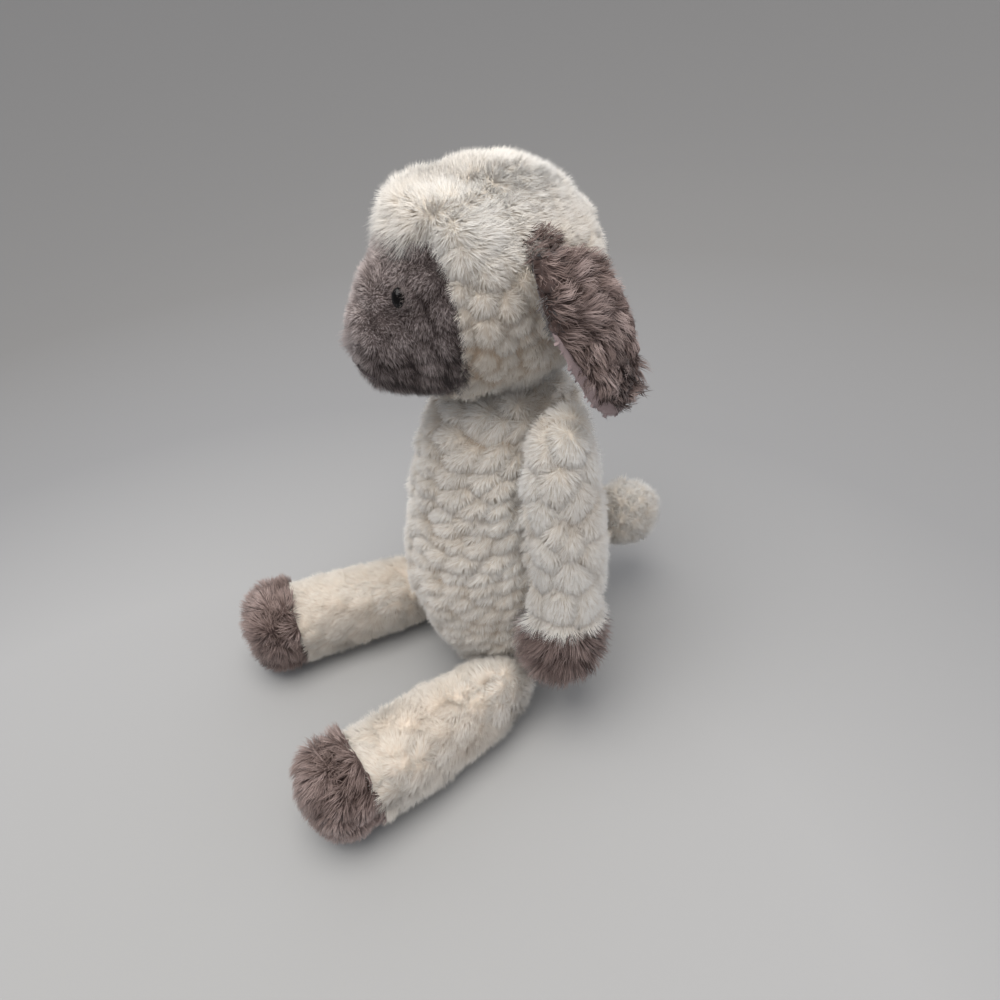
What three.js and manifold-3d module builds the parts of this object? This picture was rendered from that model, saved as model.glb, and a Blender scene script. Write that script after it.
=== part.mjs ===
// A sitting plush sheep: cloth skins over stuffing, floppy arms, legs and ears.
// Millimetres, +Z up. The sheep faces -Y and its left side is +X.
// The origin is the middle of the flat seat, on the surface that it sits on.
import * as THREE from "three";
import { mergeVertices } from "three/addons/utils/BufferGeometryUtils.js";
import Module from "manifold-3d";

const wasm = await Module();
wasm.setup();

// Cloth and seams
const seamGap = 0.3; // between two pieces that are sewn or pressed together
const swingGap = 0.5; // between two pieces that turn past each other
const plushThickness = 3; // backing cloth and the dense foot of the pile
const seatFlatDepth = 0.5; // how much of a round form the floor flattens
const cutOverrun = 30; // how far a cutting shape runs past what it cuts
const weldDistance = 0.0001; // points nearer to each other than this are one point

// Body: a pear that leans back towards the neck
const bodyHeight = 161.5;
const bodyHalfWidth = 46;
const bodyHalfDepth = 51;
const bodyLean = 10;
const seatBagHeight = 24;

// Neck: a ball of firm stuffing that the neck seam is drawn round
const neckBallRadius = 12;
const neckHeight = bodyHeight; // the ball sits half in the body and half in the head
const neckOpeningGap = 0.9; // all round the ball, where the cloth is gathered

// Head: a rounded form that narrows to the muzzle, lying along Y
const headDepth = 107.5;
const headHalfWidth = 45;
const headHalfHeight = 45;
const headRise = 46; // from the neck to the middle of the head
const headPastNeck = 49; // from the neck to the back of the head
const headHeight = neckHeight + headRise;
const headBack = bodyLean + headPastNeck;
const noseForward = headDepth - headBack;
const muzzleDrop = 14;
const faceLength = 32.5; // from the nose to the seam between face and wool
const faceSeamForward = noseForward - faceLength;
const fringeRise = 27; // above the middle of the head
const fringeHeight = headHeight + fringeRise;
const fringeFall = 9; // degrees that the seam under the fringe drops towards the nose

// Eyes: oval buttons on a stem, each held by a washer behind the cloth
const eyeBehindNose = 18.5;
const eyeRise = 8.5; // above the middle of the head
const eyeForward = noseForward - eyeBehindNose;
const eyeHeight = headHeight + eyeRise;
const eyeHalfWidth = 2.5;
const eyeHalfHeight = 3.7;
const eyeBulge = 2.1;
const eyeStand = 0.6; // of the dome's flat back above the cloth
const eyeStemRadius = 1.6;
const washerRadius = 6;
const washerThickness = 1.5;
const washerBehindCloth = 1.2;
const washerDepth = plushThickness + washerBehindCloth;
const eyeStemPastWasher = 3.3;
const eyeStemLength = washerDepth + washerThickness + eyeStemPastWasher;

// Nose and mouth: one thread stitched over the muzzle
const threadRadius = 0.8;
const noseRise = 3; // above the middle of the muzzle
const noseHalfWidth = 9.5;
const nostrilRise = 3.5;
const mouthDrop = 8.5;
const mouthHalfWidth = 12;
const mouthBow = 2.5;

// Ears: two leaves sewn face to face, hanging from the side of the head
const earRootInset = 4; // inside the widest of the head
const earRootAhead = 39; // ahead of the back of the head
const earRootRise = 19.5; // above the middle of the head
const earRootOut = headHalfWidth - earRootInset;
const earRootBack = headBack - earRootAhead;
const earRootHeight = headHeight + earRootRise;
const earOutRun = 22;
const earBackRun = 13;
const earDrop = 61;
const earHalfWidth = 20;
const earOuterThickness = 5.2;
const earLiningThickness = 1.8;
const earRootSlope = 24; // degrees that the root seam falls towards the back
const earTipTwist = 22; // degrees that the front edge stands off the head at the tip
const earLift = 100; // degrees

// Arms
const shoulderStand = 0.5; // outside the widest of the body
const shoulderBehindNeck = 1;
const shoulderDrop = bodyHeight * 0.0774; // below the neck
const shoulderOut = bodyHalfWidth + shoulderStand;
const shoulderBack = bodyLean + shoulderBehindNeck;
const shoulderHeight = neckHeight - shoulderDrop;
const shoulderPivotForward = 6.5; // the pivot lies this far ahead of the arm's own middle
const armOverShoulder = 17;
const armSleeveLength = 84; // from the shoulder to the wrist seam
const pawLength = 34;
const armRadius = 19;
const pawRadius = 18.5;
const armOutLean = 5.5; // degrees
const armForwardLean = 7.5; // degrees
const armAxisTurn = 8; // degrees that the swing opens outwards at the front

// Legs
const legBehindHip = 16;
const legTubeLength = 76; // from the hip to the ankle seam
const footLength = 29;
const legRadius = 22;
const footRadius = 24;
const hipInset = 3; // inside the widest of the body
const hipSetBack = 18; // behind the front of the body
const hipOut = bodyHalfWidth - hipInset;
const hipForward = bodyHalfDepth - hipSetBack;
const hipHeight = legRadius - seatFlatDepth;
const legSplay = 9; // degrees
const legLift = 45; // degrees
const legDrop = 75; // degrees
const legSettleShare = 0.2; // of the tube, over which the leg comes down to the floor
const toeRiseShare = 0.12; // of the radius, that a narrowing toe may sink

// Tail
const tailLength = 46;
const tailHeight = 51;
const tailRadius = 18.5;
const tailRootStand = 1.5; // behind the back of the body
const tailReach = 36; // from the root seam to the end
const tailRootBack = bodyHalfDepth + tailRootStand;
const tailEnd = tailRootBack + tailReach;
const tailOpeningRadius = 7;
const tailSwing = 20; // degrees either way

// Head turning
const nodSwing = 20; // degrees either way

// How finely the forms are made
const bodySides = 24;
const limbSides = 18;
const earSides = 14;
const barSides = 16;
const openingSides = 20;
const ballSides = 16;
const ballRows = 12;
const eyeSides = 18;
const eyeRows = 5;
const threadSteps = 10;
const threadCurveSegments = 4;
const muzzleSteps = 200;
const dishSides = 36;
const dishRows = 10;
const dishLevels = 40;
const dishTurns = 60;
const sweepStep = 25; // degrees between two places of a form that turns past another

// Body from seat to neck: height share, half-width share, half-depth share, lean share
const bodyProfileShares = [
  [0, 0.5, 0.45, 0],
  [0.006, 0.58, 0.52, 0],
  [0.05, 0.74, 0.67, 0],
  [0.135, 0.87, 0.81, 0],
  [0.245, 0.96, 0.92, 0],
  [0.37, 1, 1, 0],
  [0.47, 1, 1, 0.1],
  [0.585, 0.96, 0.94, 0.3],
  [0.71, 0.89, 0.86, 0.5],
  [0.83, 0.82, 0.78, 0.7],
  [0.92, 0.74, 0.68, 0.9],
  [0.97, 0.61, 0.55, 1],
  [1, 0.37, 0.335, 1],
];

// Head from nose to back: depth share, half-width share, half-height share, drop share
const headProfileShares = [
  [0, 0.19, 0.2, 1],
  [0.033, 0.33, 0.4, 0.93],
  [0.09, 0.41, 0.515, 0.89],
  [0.18, 0.52, 0.665, 0.73],
  [0.29, 0.79, 0.885, 0.23],
  [0.42, 0.96, 0.98, 0.07],
  [0.59, 1, 1, 0],
  [0.76, 0.93, 0.93, 0],
  [0.89, 0.76, 0.76, 0.07],
  [0.97, 0.49, 0.49, 0.14],
  [1, 0.22, 0.22, 0.14],
];

// Limbs: length share and radius share, first the tube and then its paw or foot
const legTubeShares = [
  [0, 0.27],
  [0.045, 0.52],
  [0.11, 0.66],
  [0.175, 0.74],
  [0.3, 0.86],
  [0.5, 0.955],
  [0.72, 1],
  [1, 1],
];
const footShares = [
  [0, 0.92],
  [0.25, 0.98],
  [0.5, 1],
  [0.76, 0.9],
  [0.93, 0.64],
  [1, 0.33],
];
const armTubeShares = [
  [0, 0.37],
  [0.07, 0.7],
  [0.17, 0.84],
  [0.35, 0.95],
  [0.55, 1],
  [0.8, 0.97],
  [1, 0.97],
];
const pawShares = [
  [0, 1],
  [0.3, 1.04],
  [0.6, 0.97],
  [0.85, 0.7],
  [1, 0.35],
];
const tailShares = [
  [0, 0.35],
  [0.14, 0.58],
  [0.3, 0.84],
  [0.46, 0.98],
  [0.62, 1],
  [0.78, 0.9],
  [0.91, 0.66],
  [1, 0.3],
];

// Ear from root to tip: drop share, out share, back share, half-width share, thickness share
const earShares = [
  [0, 0, 0, 0.6, 0.55],
  [0.1, 0.28, 0.1, 0.84, 0.85],
  [0.3, 0.58, 0.3, 1, 1],
  [0.55, 0.83, 0.55, 0.97, 1],
  [0.8, 0.96, 0.8, 0.84, 0.95],
  [0.93, 0.99, 0.93, 0.62, 0.8],
  [1, 1, 1, 0.32, 0.5],
];

const colours = {
  wool: 0xece6da,
  warmWool: 0xefe3d3,
  taupe: 0x6f6364,
  face: 0x625858,
  lining: 0xb9a3a6,
  stuffing: 0xf4f4f2,
  bag: 0xd8d2c4,
  button: 0x0b0a0a,
  washer: 0xe8e8e8,
  thread: 0x3a3234,
};

function cloth(colour) {
  return new THREE.MeshStandardMaterial({ color: colour, roughness: 1, metalness: 0 });
}

function plastic(colour) {
  return new THREE.MeshStandardMaterial({ color: colour, roughness: 0.12, metalness: 0 });
}

const radians = THREE.MathUtils.degToRad;
const xAxis = new THREE.Vector3(1, 0, 0);
const yAxis = new THREE.Vector3(0, 1, 0);
const zAxis = new THREE.Vector3(0, 0, 1);

// One closed mesh as a solid that can be joined and cut.
function solidOf(geometry) {
  const bare = geometry.clone();
  bare.deleteAttribute("normal");
  bare.deleteAttribute("uv");
  const merged = mergeVertices(bare, weldDistance);
  return new wasm.Manifold(
    new wasm.Mesh({
      numProp: 3,
      vertProperties: merged.attributes.position.array,
      triVerts: new Uint32Array(merged.index.array),
    }),
  );
}

// A finished solid as a named mesh, its points counted from the group that carries it.
function meshOf(name, solid, material, carrier) {
  const made = solid.getMesh();
  const geometry = new THREE.BufferGeometry();
  geometry.setAttribute("position", new THREE.BufferAttribute(made.vertProperties, 3));
  geometry.setIndex(new THREE.BufferAttribute(made.triVerts, 1));
  const stand = carrier.getWorldPosition(new THREE.Vector3());
  geometry.translate(-stand.x, -stand.y, -stand.z);
  geometry.computeVertexNormals();
  const mesh = new THREE.Mesh(geometry, material);
  mesh.name = name;
  carrier.add(mesh);
  return mesh;
}

// The columns of a table at one share of its first column.
function profileAt(table, share) {
  const last = table.length - 1;
  const place = THREE.MathUtils.clamp(share, table[0][0], table[last][0]);
  const next = Math.max(
    1,
    table.findIndex((row) => row[0] >= place),
  );
  const low = table[next - 1];
  const high = table[next];
  const part = (place - low[0]) / (high[0] - low[0]);
  return low.map((value, column) => value + (high[column] - value) * part);
}

// A closed skin over a row of oval rings, each given by its centre and two half-axes.
function loft(rings, sides) {
  const points = [];
  const faces = [];
  for (const ring of rings) {
    for (let side = 0; side < sides; side++) {
      const turn = (side / sides) * 2 * Math.PI;
      const point = ring.centre
        .clone()
        .addScaledVector(ring.across, Math.cos(turn))
        .addScaledVector(ring.up, Math.sin(turn));
      points.push(point);
    }
  }
  for (let row = 0; row + 1 < rings.length; row++) {
    for (let side = 0; side < sides; side++) {
      const here = row * sides + side;
      const beside = row * sides + ((side + 1) % sides);
      faces.push(here, beside, beside + sides, here, beside + sides, here + sides);
    }
  }
  const firstCentre = points.push(rings[0].centre.clone()) - 1;
  const lastCentre = points.push(rings[rings.length - 1].centre.clone()) - 1;
  const lastRow = (rings.length - 1) * sides;
  for (let side = 0; side < sides; side++) {
    const beside = (side + 1) % sides;
    faces.push(firstCentre, beside, side, lastCentre, lastRow + side, lastRow + beside);
  }
  const geometry = new THREE.BufferGeometry().setFromPoints(points);
  geometry.setIndex(facingOut(points, faces));
  return geometry;
}

// The same rings drawn in by one depth, measured square to the surface that they carry.
function drawnIn(rings, depth) {
  const last = rings.length - 1;
  const along = rings[last].centre.clone().sub(rings[0].centre).normalize();
  const places = rings.map((ring) => ring.centre.clone().sub(rings[0].centre).dot(along));
  const outline = rings.map(
    (ring, row) => new THREE.Vector2(places[row], (ring.across.length() + ring.up.length()) / 2),
  );
  outline.unshift(new THREE.Vector2(places[0], 0));
  outline.push(new THREE.Vector2(places[last], 0));
  return rings.map((ring, row) => {
    const before = squareTo(outline[row], outline[row + 1]);
    const after = squareTo(outline[row + 1], outline[row + 2]);
    const move = before.clone().add(after).multiplyScalar(-depth / (1 + before.dot(after)));
    return {
      centre: spinePoint(rings, places, places[row] + move.x),
      across: ring.across.clone().setLength(ring.across.length() + move.y),
      up: ring.up.clone().setLength(ring.up.length() + move.y),
    };
  });
}

// The outward direction of one straight piece of an outline.
function squareTo(from, to) {
  const run = to.clone().sub(from).normalize();
  return new THREE.Vector2(-run.y, run.x);
}

// A point of the line through the ring centres, or of its straight run past either end.
function spinePoint(rings, places, place) {
  const next = places.findIndex((value) => value >= place);
  const row = next === -1 ? rings.length - 1 : Math.max(1, next);
  const part = (place - places[row - 1]) / (places[row] - places[row - 1]);
  return rings[row - 1].centre.clone().lerp(rings[row].centre, part);
}

// The same faces, turned round where they would enclose a negative volume.
function facingOut(points, faces) {
  let volume = 0;
  for (let i = 0; i < faces.length; i += 3) {
    const [a, b, c] = [points[faces[i]], points[faces[i + 1]], points[faces[i + 2]]];
    volume += a.dot(b.clone().cross(c));
  }
  if (volume > 0) return faces;
  return faces.slice().reverse();
}

// A box between two corners.
function block(low, high) {
  const size = high.clone().sub(low);
  const middle = low.clone().add(high).multiplyScalar(0.5);
  return new THREE.BoxGeometry(size.x, size.y, size.z).translate(middle.x, middle.y, middle.z);
}

// A round bar from one point along a direction.
function bar(start, direction, radius, length, sides) {
  const geometry = new THREE.CylinderGeometry(radius, radius, length, sides);
  geometry.translate(0, length / 2, 0);
  const turn = new THREE.Quaternion().setFromUnitVectors(yAxis, direction.clone().normalize());
  geometry.applyQuaternion(turn);
  return geometry.translate(start.x, start.y, start.z);
}

// What is left of a form that turns on a hinge past a still one, drawn in by one depth all round.
function besideStill(form, inset, hinge, stillForm) {
  const { pivot, axis, low, high } = hinge;
  const still = stillForm(-swingGap - inset).translate(-pivot.x, -pivot.y, -pivot.z);
  const stepsBack = Math.ceil(-low / sweepStep);
  const stepsAhead = Math.ceil(high / sweepStep);
  let left = form(inset);
  for (let step = -stepsBack; step <= stepsAhead; step++) {
    const angle = step < 0 ? (low * step) / -stepsBack : (high * step) / (stepsAhead || 1);
    const turn = new THREE.Quaternion().setFromAxisAngle(axis, -radians(angle));
    const turned = still.clone().applyQuaternion(turn);
    left = left.subtract(solidOf(turned.translate(pivot.x, pivot.y, pivot.z)));
  }
  return biggest(left);
}

// A skin of plush and the stuffing inside it, for a form that turns against a still one.
function skinAndStuffing(form, hinge, stillForm) {
  const outside = besideStill(form, 0, hinge, stillForm);
  const inside = besideStill(form, plushThickness, hinge, stillForm);
  const stuffing = besideStill(form, plushThickness + seamGap, hinge, stillForm);
  return { skin: outside.subtract(inside), stuffing };
}

// The largest body of a cut, without the crumbs.
function biggest(solid) {
  return solid.decompose().reduce((best, body) => (body.volume() > best.volume() ? body : best));
}

const floorBlock = block(
  new THREE.Vector3(-headDepth * 3, -headDepth * 3, -cutOverrun),
  new THREE.Vector3(headDepth * 3, headDepth * 3, 0),
);

// Body

const bodyRings = bodyProfileShares.map(([share, widthShare, depthShare, leanShare]) => ({
  centre: new THREE.Vector3(0, bodyLean * leanShare, (bodyHeight + seatFlatDepth) * share),
  across: xAxis.clone().multiplyScalar(bodyHalfWidth * widthShare),
  up: yAxis.clone().multiplyScalar(bodyHalfDepth * depthShare),
}));

function bodyForm(inset) {
  return loft(drawnIn(bodyRings, inset), bodySides).translate(0, 0, -seatFlatDepth);
}

const neckCentre = new THREE.Vector3(0, bodyLean, neckHeight);
const floorSolid = solidOf(floorBlock);

function neckBall(clearance) {
  const radius = neckBallRadius + clearance;
  const ball = new THREE.SphereGeometry(radius, ballSides, ballRows);
  return solidOf(ball.translate(neckCentre.x, neckCentre.y, neckCentre.z));
}

function neckOpening() {
  const start = neckCentre.clone().addScaledVector(zAxis, -cutOverrun);
  return solidOf(bar(start, zAxis, neckBallRadius + neckOpeningGap, cutOverrun * 2, openingSides));
}

function addBody(carrier) {
  const skin = solidOf(bodyForm(0))
    .subtract(solidOf(bodyForm(plushThickness)))
    .subtract(neckOpening())
    .subtract(floorSolid);
  meshOf("body_skin", skin, cloth(colours.wool), carrier);
  const filling = solidOf(bodyForm(plushThickness + seamGap));
  const side = bodyHalfDepth * 2;
  const belowBag = solidOf(
    block(
      new THREE.Vector3(-side, -side, -cutOverrun),
      new THREE.Vector3(side, side, seatBagHeight),
    ),
  );
  const aboveBag = solidOf(
    block(
      new THREE.Vector3(-side, -side, seatBagHeight - seamGap),
      new THREE.Vector3(side, side, bodyHeight + cutOverrun),
    ),
  );
  const stuffing = filling.subtract(belowBag).subtract(neckBall(seamGap));
  meshOf("body_stuffing", stuffing, cloth(colours.stuffing), carrier);
  meshOf("seat_bean_bag", filling.subtract(aboveBag), cloth(colours.bag), carrier);
}

// Head

function headRing(share) {
  const [, widthShare, heightShare, dropShare] = profileAt(headProfileShares, share);
  const along = headBack - headDepth + headDepth * share;
  return {
    centre: new THREE.Vector3(0, along, headHeight - muzzleDrop * dropShare),
    across: xAxis.clone().multiplyScalar(headHalfWidth * widthShare),
    up: zAxis.clone().multiplyScalar(headHalfHeight * heightShare),
  };
}

const headRings = headProfileShares.map(([share]) => headRing(share));

function headForm(inset) {
  return loft(drawnIn(headRings, inset), bodySides);
}

// A point of the head's surface from how far ahead and how high it lies, on the given side.
function headPoint(forward, height, side) {
  const ring = headRing((-forward - headBack + headDepth) / headDepth);
  const rise = (height - ring.centre.z) / ring.up.z;
  const out = Math.sqrt(Math.max(0, 1 - rise * rise));
  return new THREE.Vector3(side * ring.across.x * out, ring.centre.y, height);
}

// The direction that the head's surface faces at such a point.
function headFacing(forward, height, side) {
  const step = seamGap;
  const here = headPoint(forward, height, side);
  const ahead = headPoint(forward + step, height, side).sub(here);
  const above = headPoint(forward, height + step, side).sub(here);
  return ahead.cross(above).multiplyScalar(-side).normalize();
}

// Everything ahead of the face seam and below the fringe.
function faceZone(gap) {
  const side = headHalfWidth * 2;
  const back = -faceSeamForward + gap;
  const top = fringeHeight + gap;
  const fall = headDepth * Math.tan(radians(fringeFall));
  const outline = new THREE.Shape([
    new THREE.Vector2(back, 0),
    new THREE.Vector2(back, top),
    new THREE.Vector2(back - headDepth, top - fall),
    new THREE.Vector2(back - headDepth, 0),
  ]);
  const zone = new THREE.ExtrudeGeometry(outline, { depth: side * 2, bevelEnabled: false });
  zone.translate(0, 0, -side);
  return solidOf(zone.applyMatrix4(new THREE.Matrix4().makeBasis(yAxis, zAxis, xAxis)));
}

// A round bar along an eye's stem, between two depths under the cloth.
function eyeBar(side, radius, fromDepth, toDepth) {
  const facing = headFacing(eyeForward, eyeHeight, side);
  const start = headPoint(eyeForward, eyeHeight, side).addScaledVector(facing, -toDepth);
  return solidOf(bar(start, facing, radius, toDepth - fromDepth, barSides));
}

// A low dome with a flat back, oval and upright.
function eyeDome(side) {
  const outline = [new THREE.Vector2(0, 0)];
  for (let row = 0; row < eyeRows; row++) {
    const rise = (row / eyeRows) * (Math.PI / 2);
    outline.push(new THREE.Vector2(Math.cos(rise), Math.sin(rise)));
  }
  outline.push(new THREE.Vector2(0, 1));
  const dome = new THREE.LatheGeometry(outline, eyeSides);
  dome.scale(eyeHalfWidth, eyeBulge, eyeHalfHeight);
  const facing = headFacing(eyeForward, eyeHeight, side);
  const upright = zAxis.clone().projectOnPlane(facing).normalize();
  const across = facing.clone().cross(upright);
  dome.applyMatrix4(new THREE.Matrix4().makeBasis(across, facing, upright));
  const seat = headPoint(eyeForward, eyeHeight, side).addScaledVector(facing, eyeStand);
  return solidOf(dome.translate(seat.x, seat.y, seat.z));
}

function addEye(carrier, side, name) {
  const stem = eyeBar(side, eyeStemRadius, -seamGap - eyeBulge / 2, eyeStemLength);
  meshOf(name + "_eye", eyeDome(side).add(stem), plastic(colours.button), carrier);
  const washer = eyeBar(side, washerRadius, washerDepth, washerDepth + washerThickness).subtract(
    eyeBar(side, eyeStemRadius + seamGap, 0, eyeStemLength),
  );
  meshOf(name + "_eye_washer", washer, plastic(colours.washer), carrier);
}

// The front of the head straight ahead of a place in the head's width and height.
function muzzlePoint(out, height) {
  for (let step = 0; step < muzzleSteps; step++) {
    const ring = headRing(step / muzzleSteps);
    const sideways = out / ring.across.length();
    const rise = (height - ring.centre.z) / ring.up.length();
    if (sideways ** 2 + rise ** 2 < 1) {
      return new THREE.Vector3(out, ring.centre.y - threadRadius / 2, height);
    }
  }
  return new THREE.Vector3(out, headBack, height);
}

// One length of thread through points on the muzzle.
function threadThrough(points) {
  const section = new THREE.Shape();
  section.absarc(0, 0, threadRadius, 0, 2 * Math.PI);
  const settings = {
    steps: threadSteps,
    curveSegments: threadCurveSegments,
    extrudePath: new THREE.CatmullRomCurve3(points),
  };
  return solidOf(new THREE.ExtrudeGeometry(section, settings));
}

// Two slanting lines for the nostrils, one upright and a shallow bow for the mouth.
function addNose(carrier) {
  const tip = headHeight - muzzleDrop + noseRise;
  const mouth = tip - mouthDrop;
  const acrossShares = [-1, -0.5, 0, 0.5, 1];
  const noseLine = acrossShares.map((share) =>
    muzzlePoint(noseHalfWidth * share, tip + nostrilRise * Math.abs(share)),
  );
  const mouthLine = acrossShares.map((share) =>
    muzzlePoint(mouthHalfWidth * share, mouth - mouthBow * share * share),
  );
  const upright = [muzzlePoint(0, tip), muzzlePoint(0, mouth)];
  const thread = threadThrough(noseLine)
    .add(threadThrough(mouthLine))
    .add(threadThrough(upright))
    .subtract(solidOf(headForm(-seamGap)));
  meshOf("nose_and_mouth_thread", biggest(thread), cloth(colours.thread), carrier);
}

function addHead(carrier) {
  const nod = { pivot: neckCentre, axis: xAxis, low: -nodSwing, high: nodSwing };
  const pieces = skinAndStuffing((inset) => solidOf(headForm(inset)), nod, bodyForm);
  const shell = pieces.skin.subtract(neckOpening());
  let face = shell.intersect(faceZone(0));
  let stuffing = pieces.stuffing.subtract(neckBall(seamGap));
  for (const side of [1, -1]) {
    const pocketEnd = washerDepth + washerThickness + seamGap;
    face = face.subtract(eyeBar(side, eyeStemRadius + seamGap, -eyeBulge, washerDepth));
    stuffing = stuffing
      .subtract(eyeBar(side, washerRadius + seamGap, 0, pocketEnd))
      .subtract(eyeBar(side, eyeStemRadius + seamGap, 0, eyeStemLength + seamGap));
  }
  const wool = shell.subtract(faceZone(seamGap));
  meshOf("head_wool", biggest(wool), cloth(colours.wool), carrier);
  meshOf("face_panel", biggest(face), cloth(colours.face), carrier);
  meshOf("head_stuffing", biggest(stuffing), cloth(colours.stuffing), carrier);
  addEye(carrier, 1, "left");
  addEye(carrier, -1, "right");
  addNose(carrier);
}

// Ears

function earRoot(side) {
  return new THREE.Vector3(side * earRootOut, earRootBack, earRootHeight);
}

// The rings of an ear, or of a shape that follows it, in the ear's own curve and twist.
function earRings(side, widen, halfThickness, offset) {
  const slope = radians(earRootSlope);
  const twist = radians(earTipTwist);
  const rootAcross = new THREE.Vector3(0, Math.cos(slope), -Math.sin(slope));
  const tipAcross = new THREE.Vector3(-side * Math.sin(twist), Math.cos(twist), 0);
  const spine = earShares.map(([dropShare, outShare, backShare]) =>
    earRoot(side).add(
      new THREE.Vector3(side * earOutRun * outShare, earBackRun * backShare, -earDrop * dropShare),
    ),
  );
  return earShares.map(([dropShare, , , widthShare, thickShare], row) => {
    const before = spine[Math.max(0, row - 1)];
    const after = spine[Math.min(spine.length - 1, row + 1)];
    const along = after.clone().sub(before).normalize();
    const across = rootAcross.clone().lerp(tipAcross, dropShare);
    across.addScaledVector(along, -across.dot(along)).normalize();
    const outward = along.clone().cross(across).multiplyScalar(side);
    return {
      centre: spine[row].clone().addScaledVector(outward, offset),
      across: across.multiplyScalar(earHalfWidth * widthShare * widen),
      up: outward.multiplyScalar(halfThickness * thickShare),
    };
  });
}

// The seam line at the top of the ear; turning about it lifts the tip outwards.
function earAxis(side) {
  const slope = radians(earRootSlope);
  return new THREE.Vector3(0, -Math.cos(slope), Math.sin(slope)).multiplyScalar(side);
}

function addEar(carrier, side, name) {
  const half = (earOuterThickness + earLiningThickness) / 2;
  const hinge = { pivot: earRoot(side), axis: earAxis(side), low: 0, high: earLift };
  const leaf = () => solidOf(loft(earRings(side, 1, half, 0), earSides));
  const ear = besideStill(leaf, 0, hinge, headForm);
  const seam = earLiningThickness - half;
  const splitDepth = half * 2;
  const splitShare = 6; // of the ear's width, so that the split runs past both edges
  const inner = earRings(side, splitShare, splitDepth, seam - splitDepth);
  const liningSide = earRings(side, splitShare, splitDepth, seam - splitDepth - seamGap);
  const outer = ear.subtract(solidOf(loft(inner, earSides)));
  const lining = ear.intersect(solidOf(loft(liningSide, earSides)));
  meshOf(name + "_ear_outer", biggest(outer), cloth(colours.taupe), carrier);
  meshOf(name + "_ear_lining", biggest(lining), cloth(colours.lining), carrier);
}

// Limbs lie along -Y of their own frame, root first, and are then turned into place.

function limbRings(tube, tip, middleOf) {
  const tubeRun = tube.length + tube.behind;
  const rows = [
    ...tube.shares.map(([place, size]) => [place * tubeRun - tube.behind, size * tube.radius]),
    ...tip.shares
      .slice(1)
      .map(([place, size]) => [tube.length + place * tip.length, size * tip.radius]),
  ];
  return rows.map(([place, radius]) => ({
    centre: new THREE.Vector3(0, -place, middleOf(place, radius)),
    across: xAxis.clone().multiplyScalar(radius),
    up: zAxis.clone().multiplyScalar(radius),
  }));
}

// Everything of a limb past one place on its length.
function pastSeam(place, reach) {
  return block(
    new THREE.Vector3(-reach, -reach * 3, -reach),
    new THREE.Vector3(reach, -place, reach),
  );
}

// The sleeve, the paw or foot, and what fills them.
function limbPieces(tube, tip, rings, frame, hinge, stillForm) {
  const placed = (geometry) => solidOf(geometry.applyMatrix4(frame));
  const form = (inset) => placed(loft(drawnIn(rings, inset), limbSides)).subtract(floorSolid);
  const { skin, stuffing } = skinAndStuffing(form, hinge, stillForm);
  const reach = tube.length + tip.length;
  const endSpace = placed(pastSeam(tube.length, reach));
  const endSpaceWithGap = placed(pastSeam(tube.length - seamGap, reach));
  const beforeSeam = (solid) => biggest(solid.subtract(endSpaceWithGap));
  const afterSeam = (solid) => biggest(solid.intersect(endSpace));
  return {
    sleeve: beforeSeam(skin),
    end: afterSeam(skin),
    filling: stuffing,
    tubeFilling: beforeSeam(stuffing),
    endFilling: afterSeam(stuffing),
  };
}

// A hinge line across the body, turned a little so that the limb swings out as it comes forward.
function swingAxis(side, degrees) {
  const turn = radians(degrees);
  return new THREE.Vector3(-Math.cos(turn), -side * Math.sin(turn), 0);
}

// Arms

const armTube = {
  behind: armOverShoulder,
  length: armSleeveLength,
  radius: armRadius,
  shares: armTubeShares,
};
const pawTip = { length: pawLength, radius: pawRadius, shares: pawShares };

function armPivot(side) {
  const back = shoulderBack - shoulderPivotForward;
  return new THREE.Vector3(side * shoulderOut, back, shoulderHeight);
}

// The round dish that the side of the body fills, as seen by an arm that swings past it.
function sideDish(side, inset) {
  const outward = swingAxis(side, armAxisTurn).multiplyScalar(-side);
  const reach = armOverShoulder + armSleeveLength + pawLength;
  const heights = new Array(dishRows + 1).fill(-bodyHalfWidth);
  for (let step = 0; step <= dishLevels; step++) {
    const level = step / dishLevels;
    const [, widthShare, depthShare, leanShare] = profileAt(bodyProfileShares, level);
    for (let turn = 0; turn < dishTurns; turn++) {
      const angle = (turn / dishTurns) * 2 * Math.PI;
      const out = bodyHalfWidth * widthShare * Math.cos(angle);
      const back = bodyHalfDepth * depthShare * Math.sin(angle) + bodyLean * leanShare;
      const point = new THREE.Vector3(out, back, bodyHeight * level).sub(armPivot(side));
      const height = point.dot(outward);
      const row = (point.addScaledVector(outward, -height).length() / reach) * dishRows;
      for (const near of [Math.floor(row), Math.ceil(row)]) {
        if (near <= dishRows) heights[near] = Math.max(heights[near], height);
      }
    }
  }
  const outline = heights.map(
    (height, row) => new THREE.Vector2((reach * row) / dishRows, height - inset),
  );
  const farSide = -bodyHalfWidth * 2;
  outline.push(new THREE.Vector2(reach, farSide), new THREE.Vector2(0, farSide));
  const turn = new THREE.Quaternion().setFromUnitVectors(yAxis, outward);
  const dish = new THREE.LatheGeometry(outline.reverse(), dishSides).applyQuaternion(turn);
  const pivot = armPivot(side);
  return dish.translate(pivot.x, pivot.y, pivot.z);
}

// The dish is as wide as the whole swing, so an arm is cut by it in one place only.
function armHinge(side) {
  return { pivot: armPivot(side), axis: swingAxis(side, armAxisTurn), low: 0, high: 0 };
}

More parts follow.
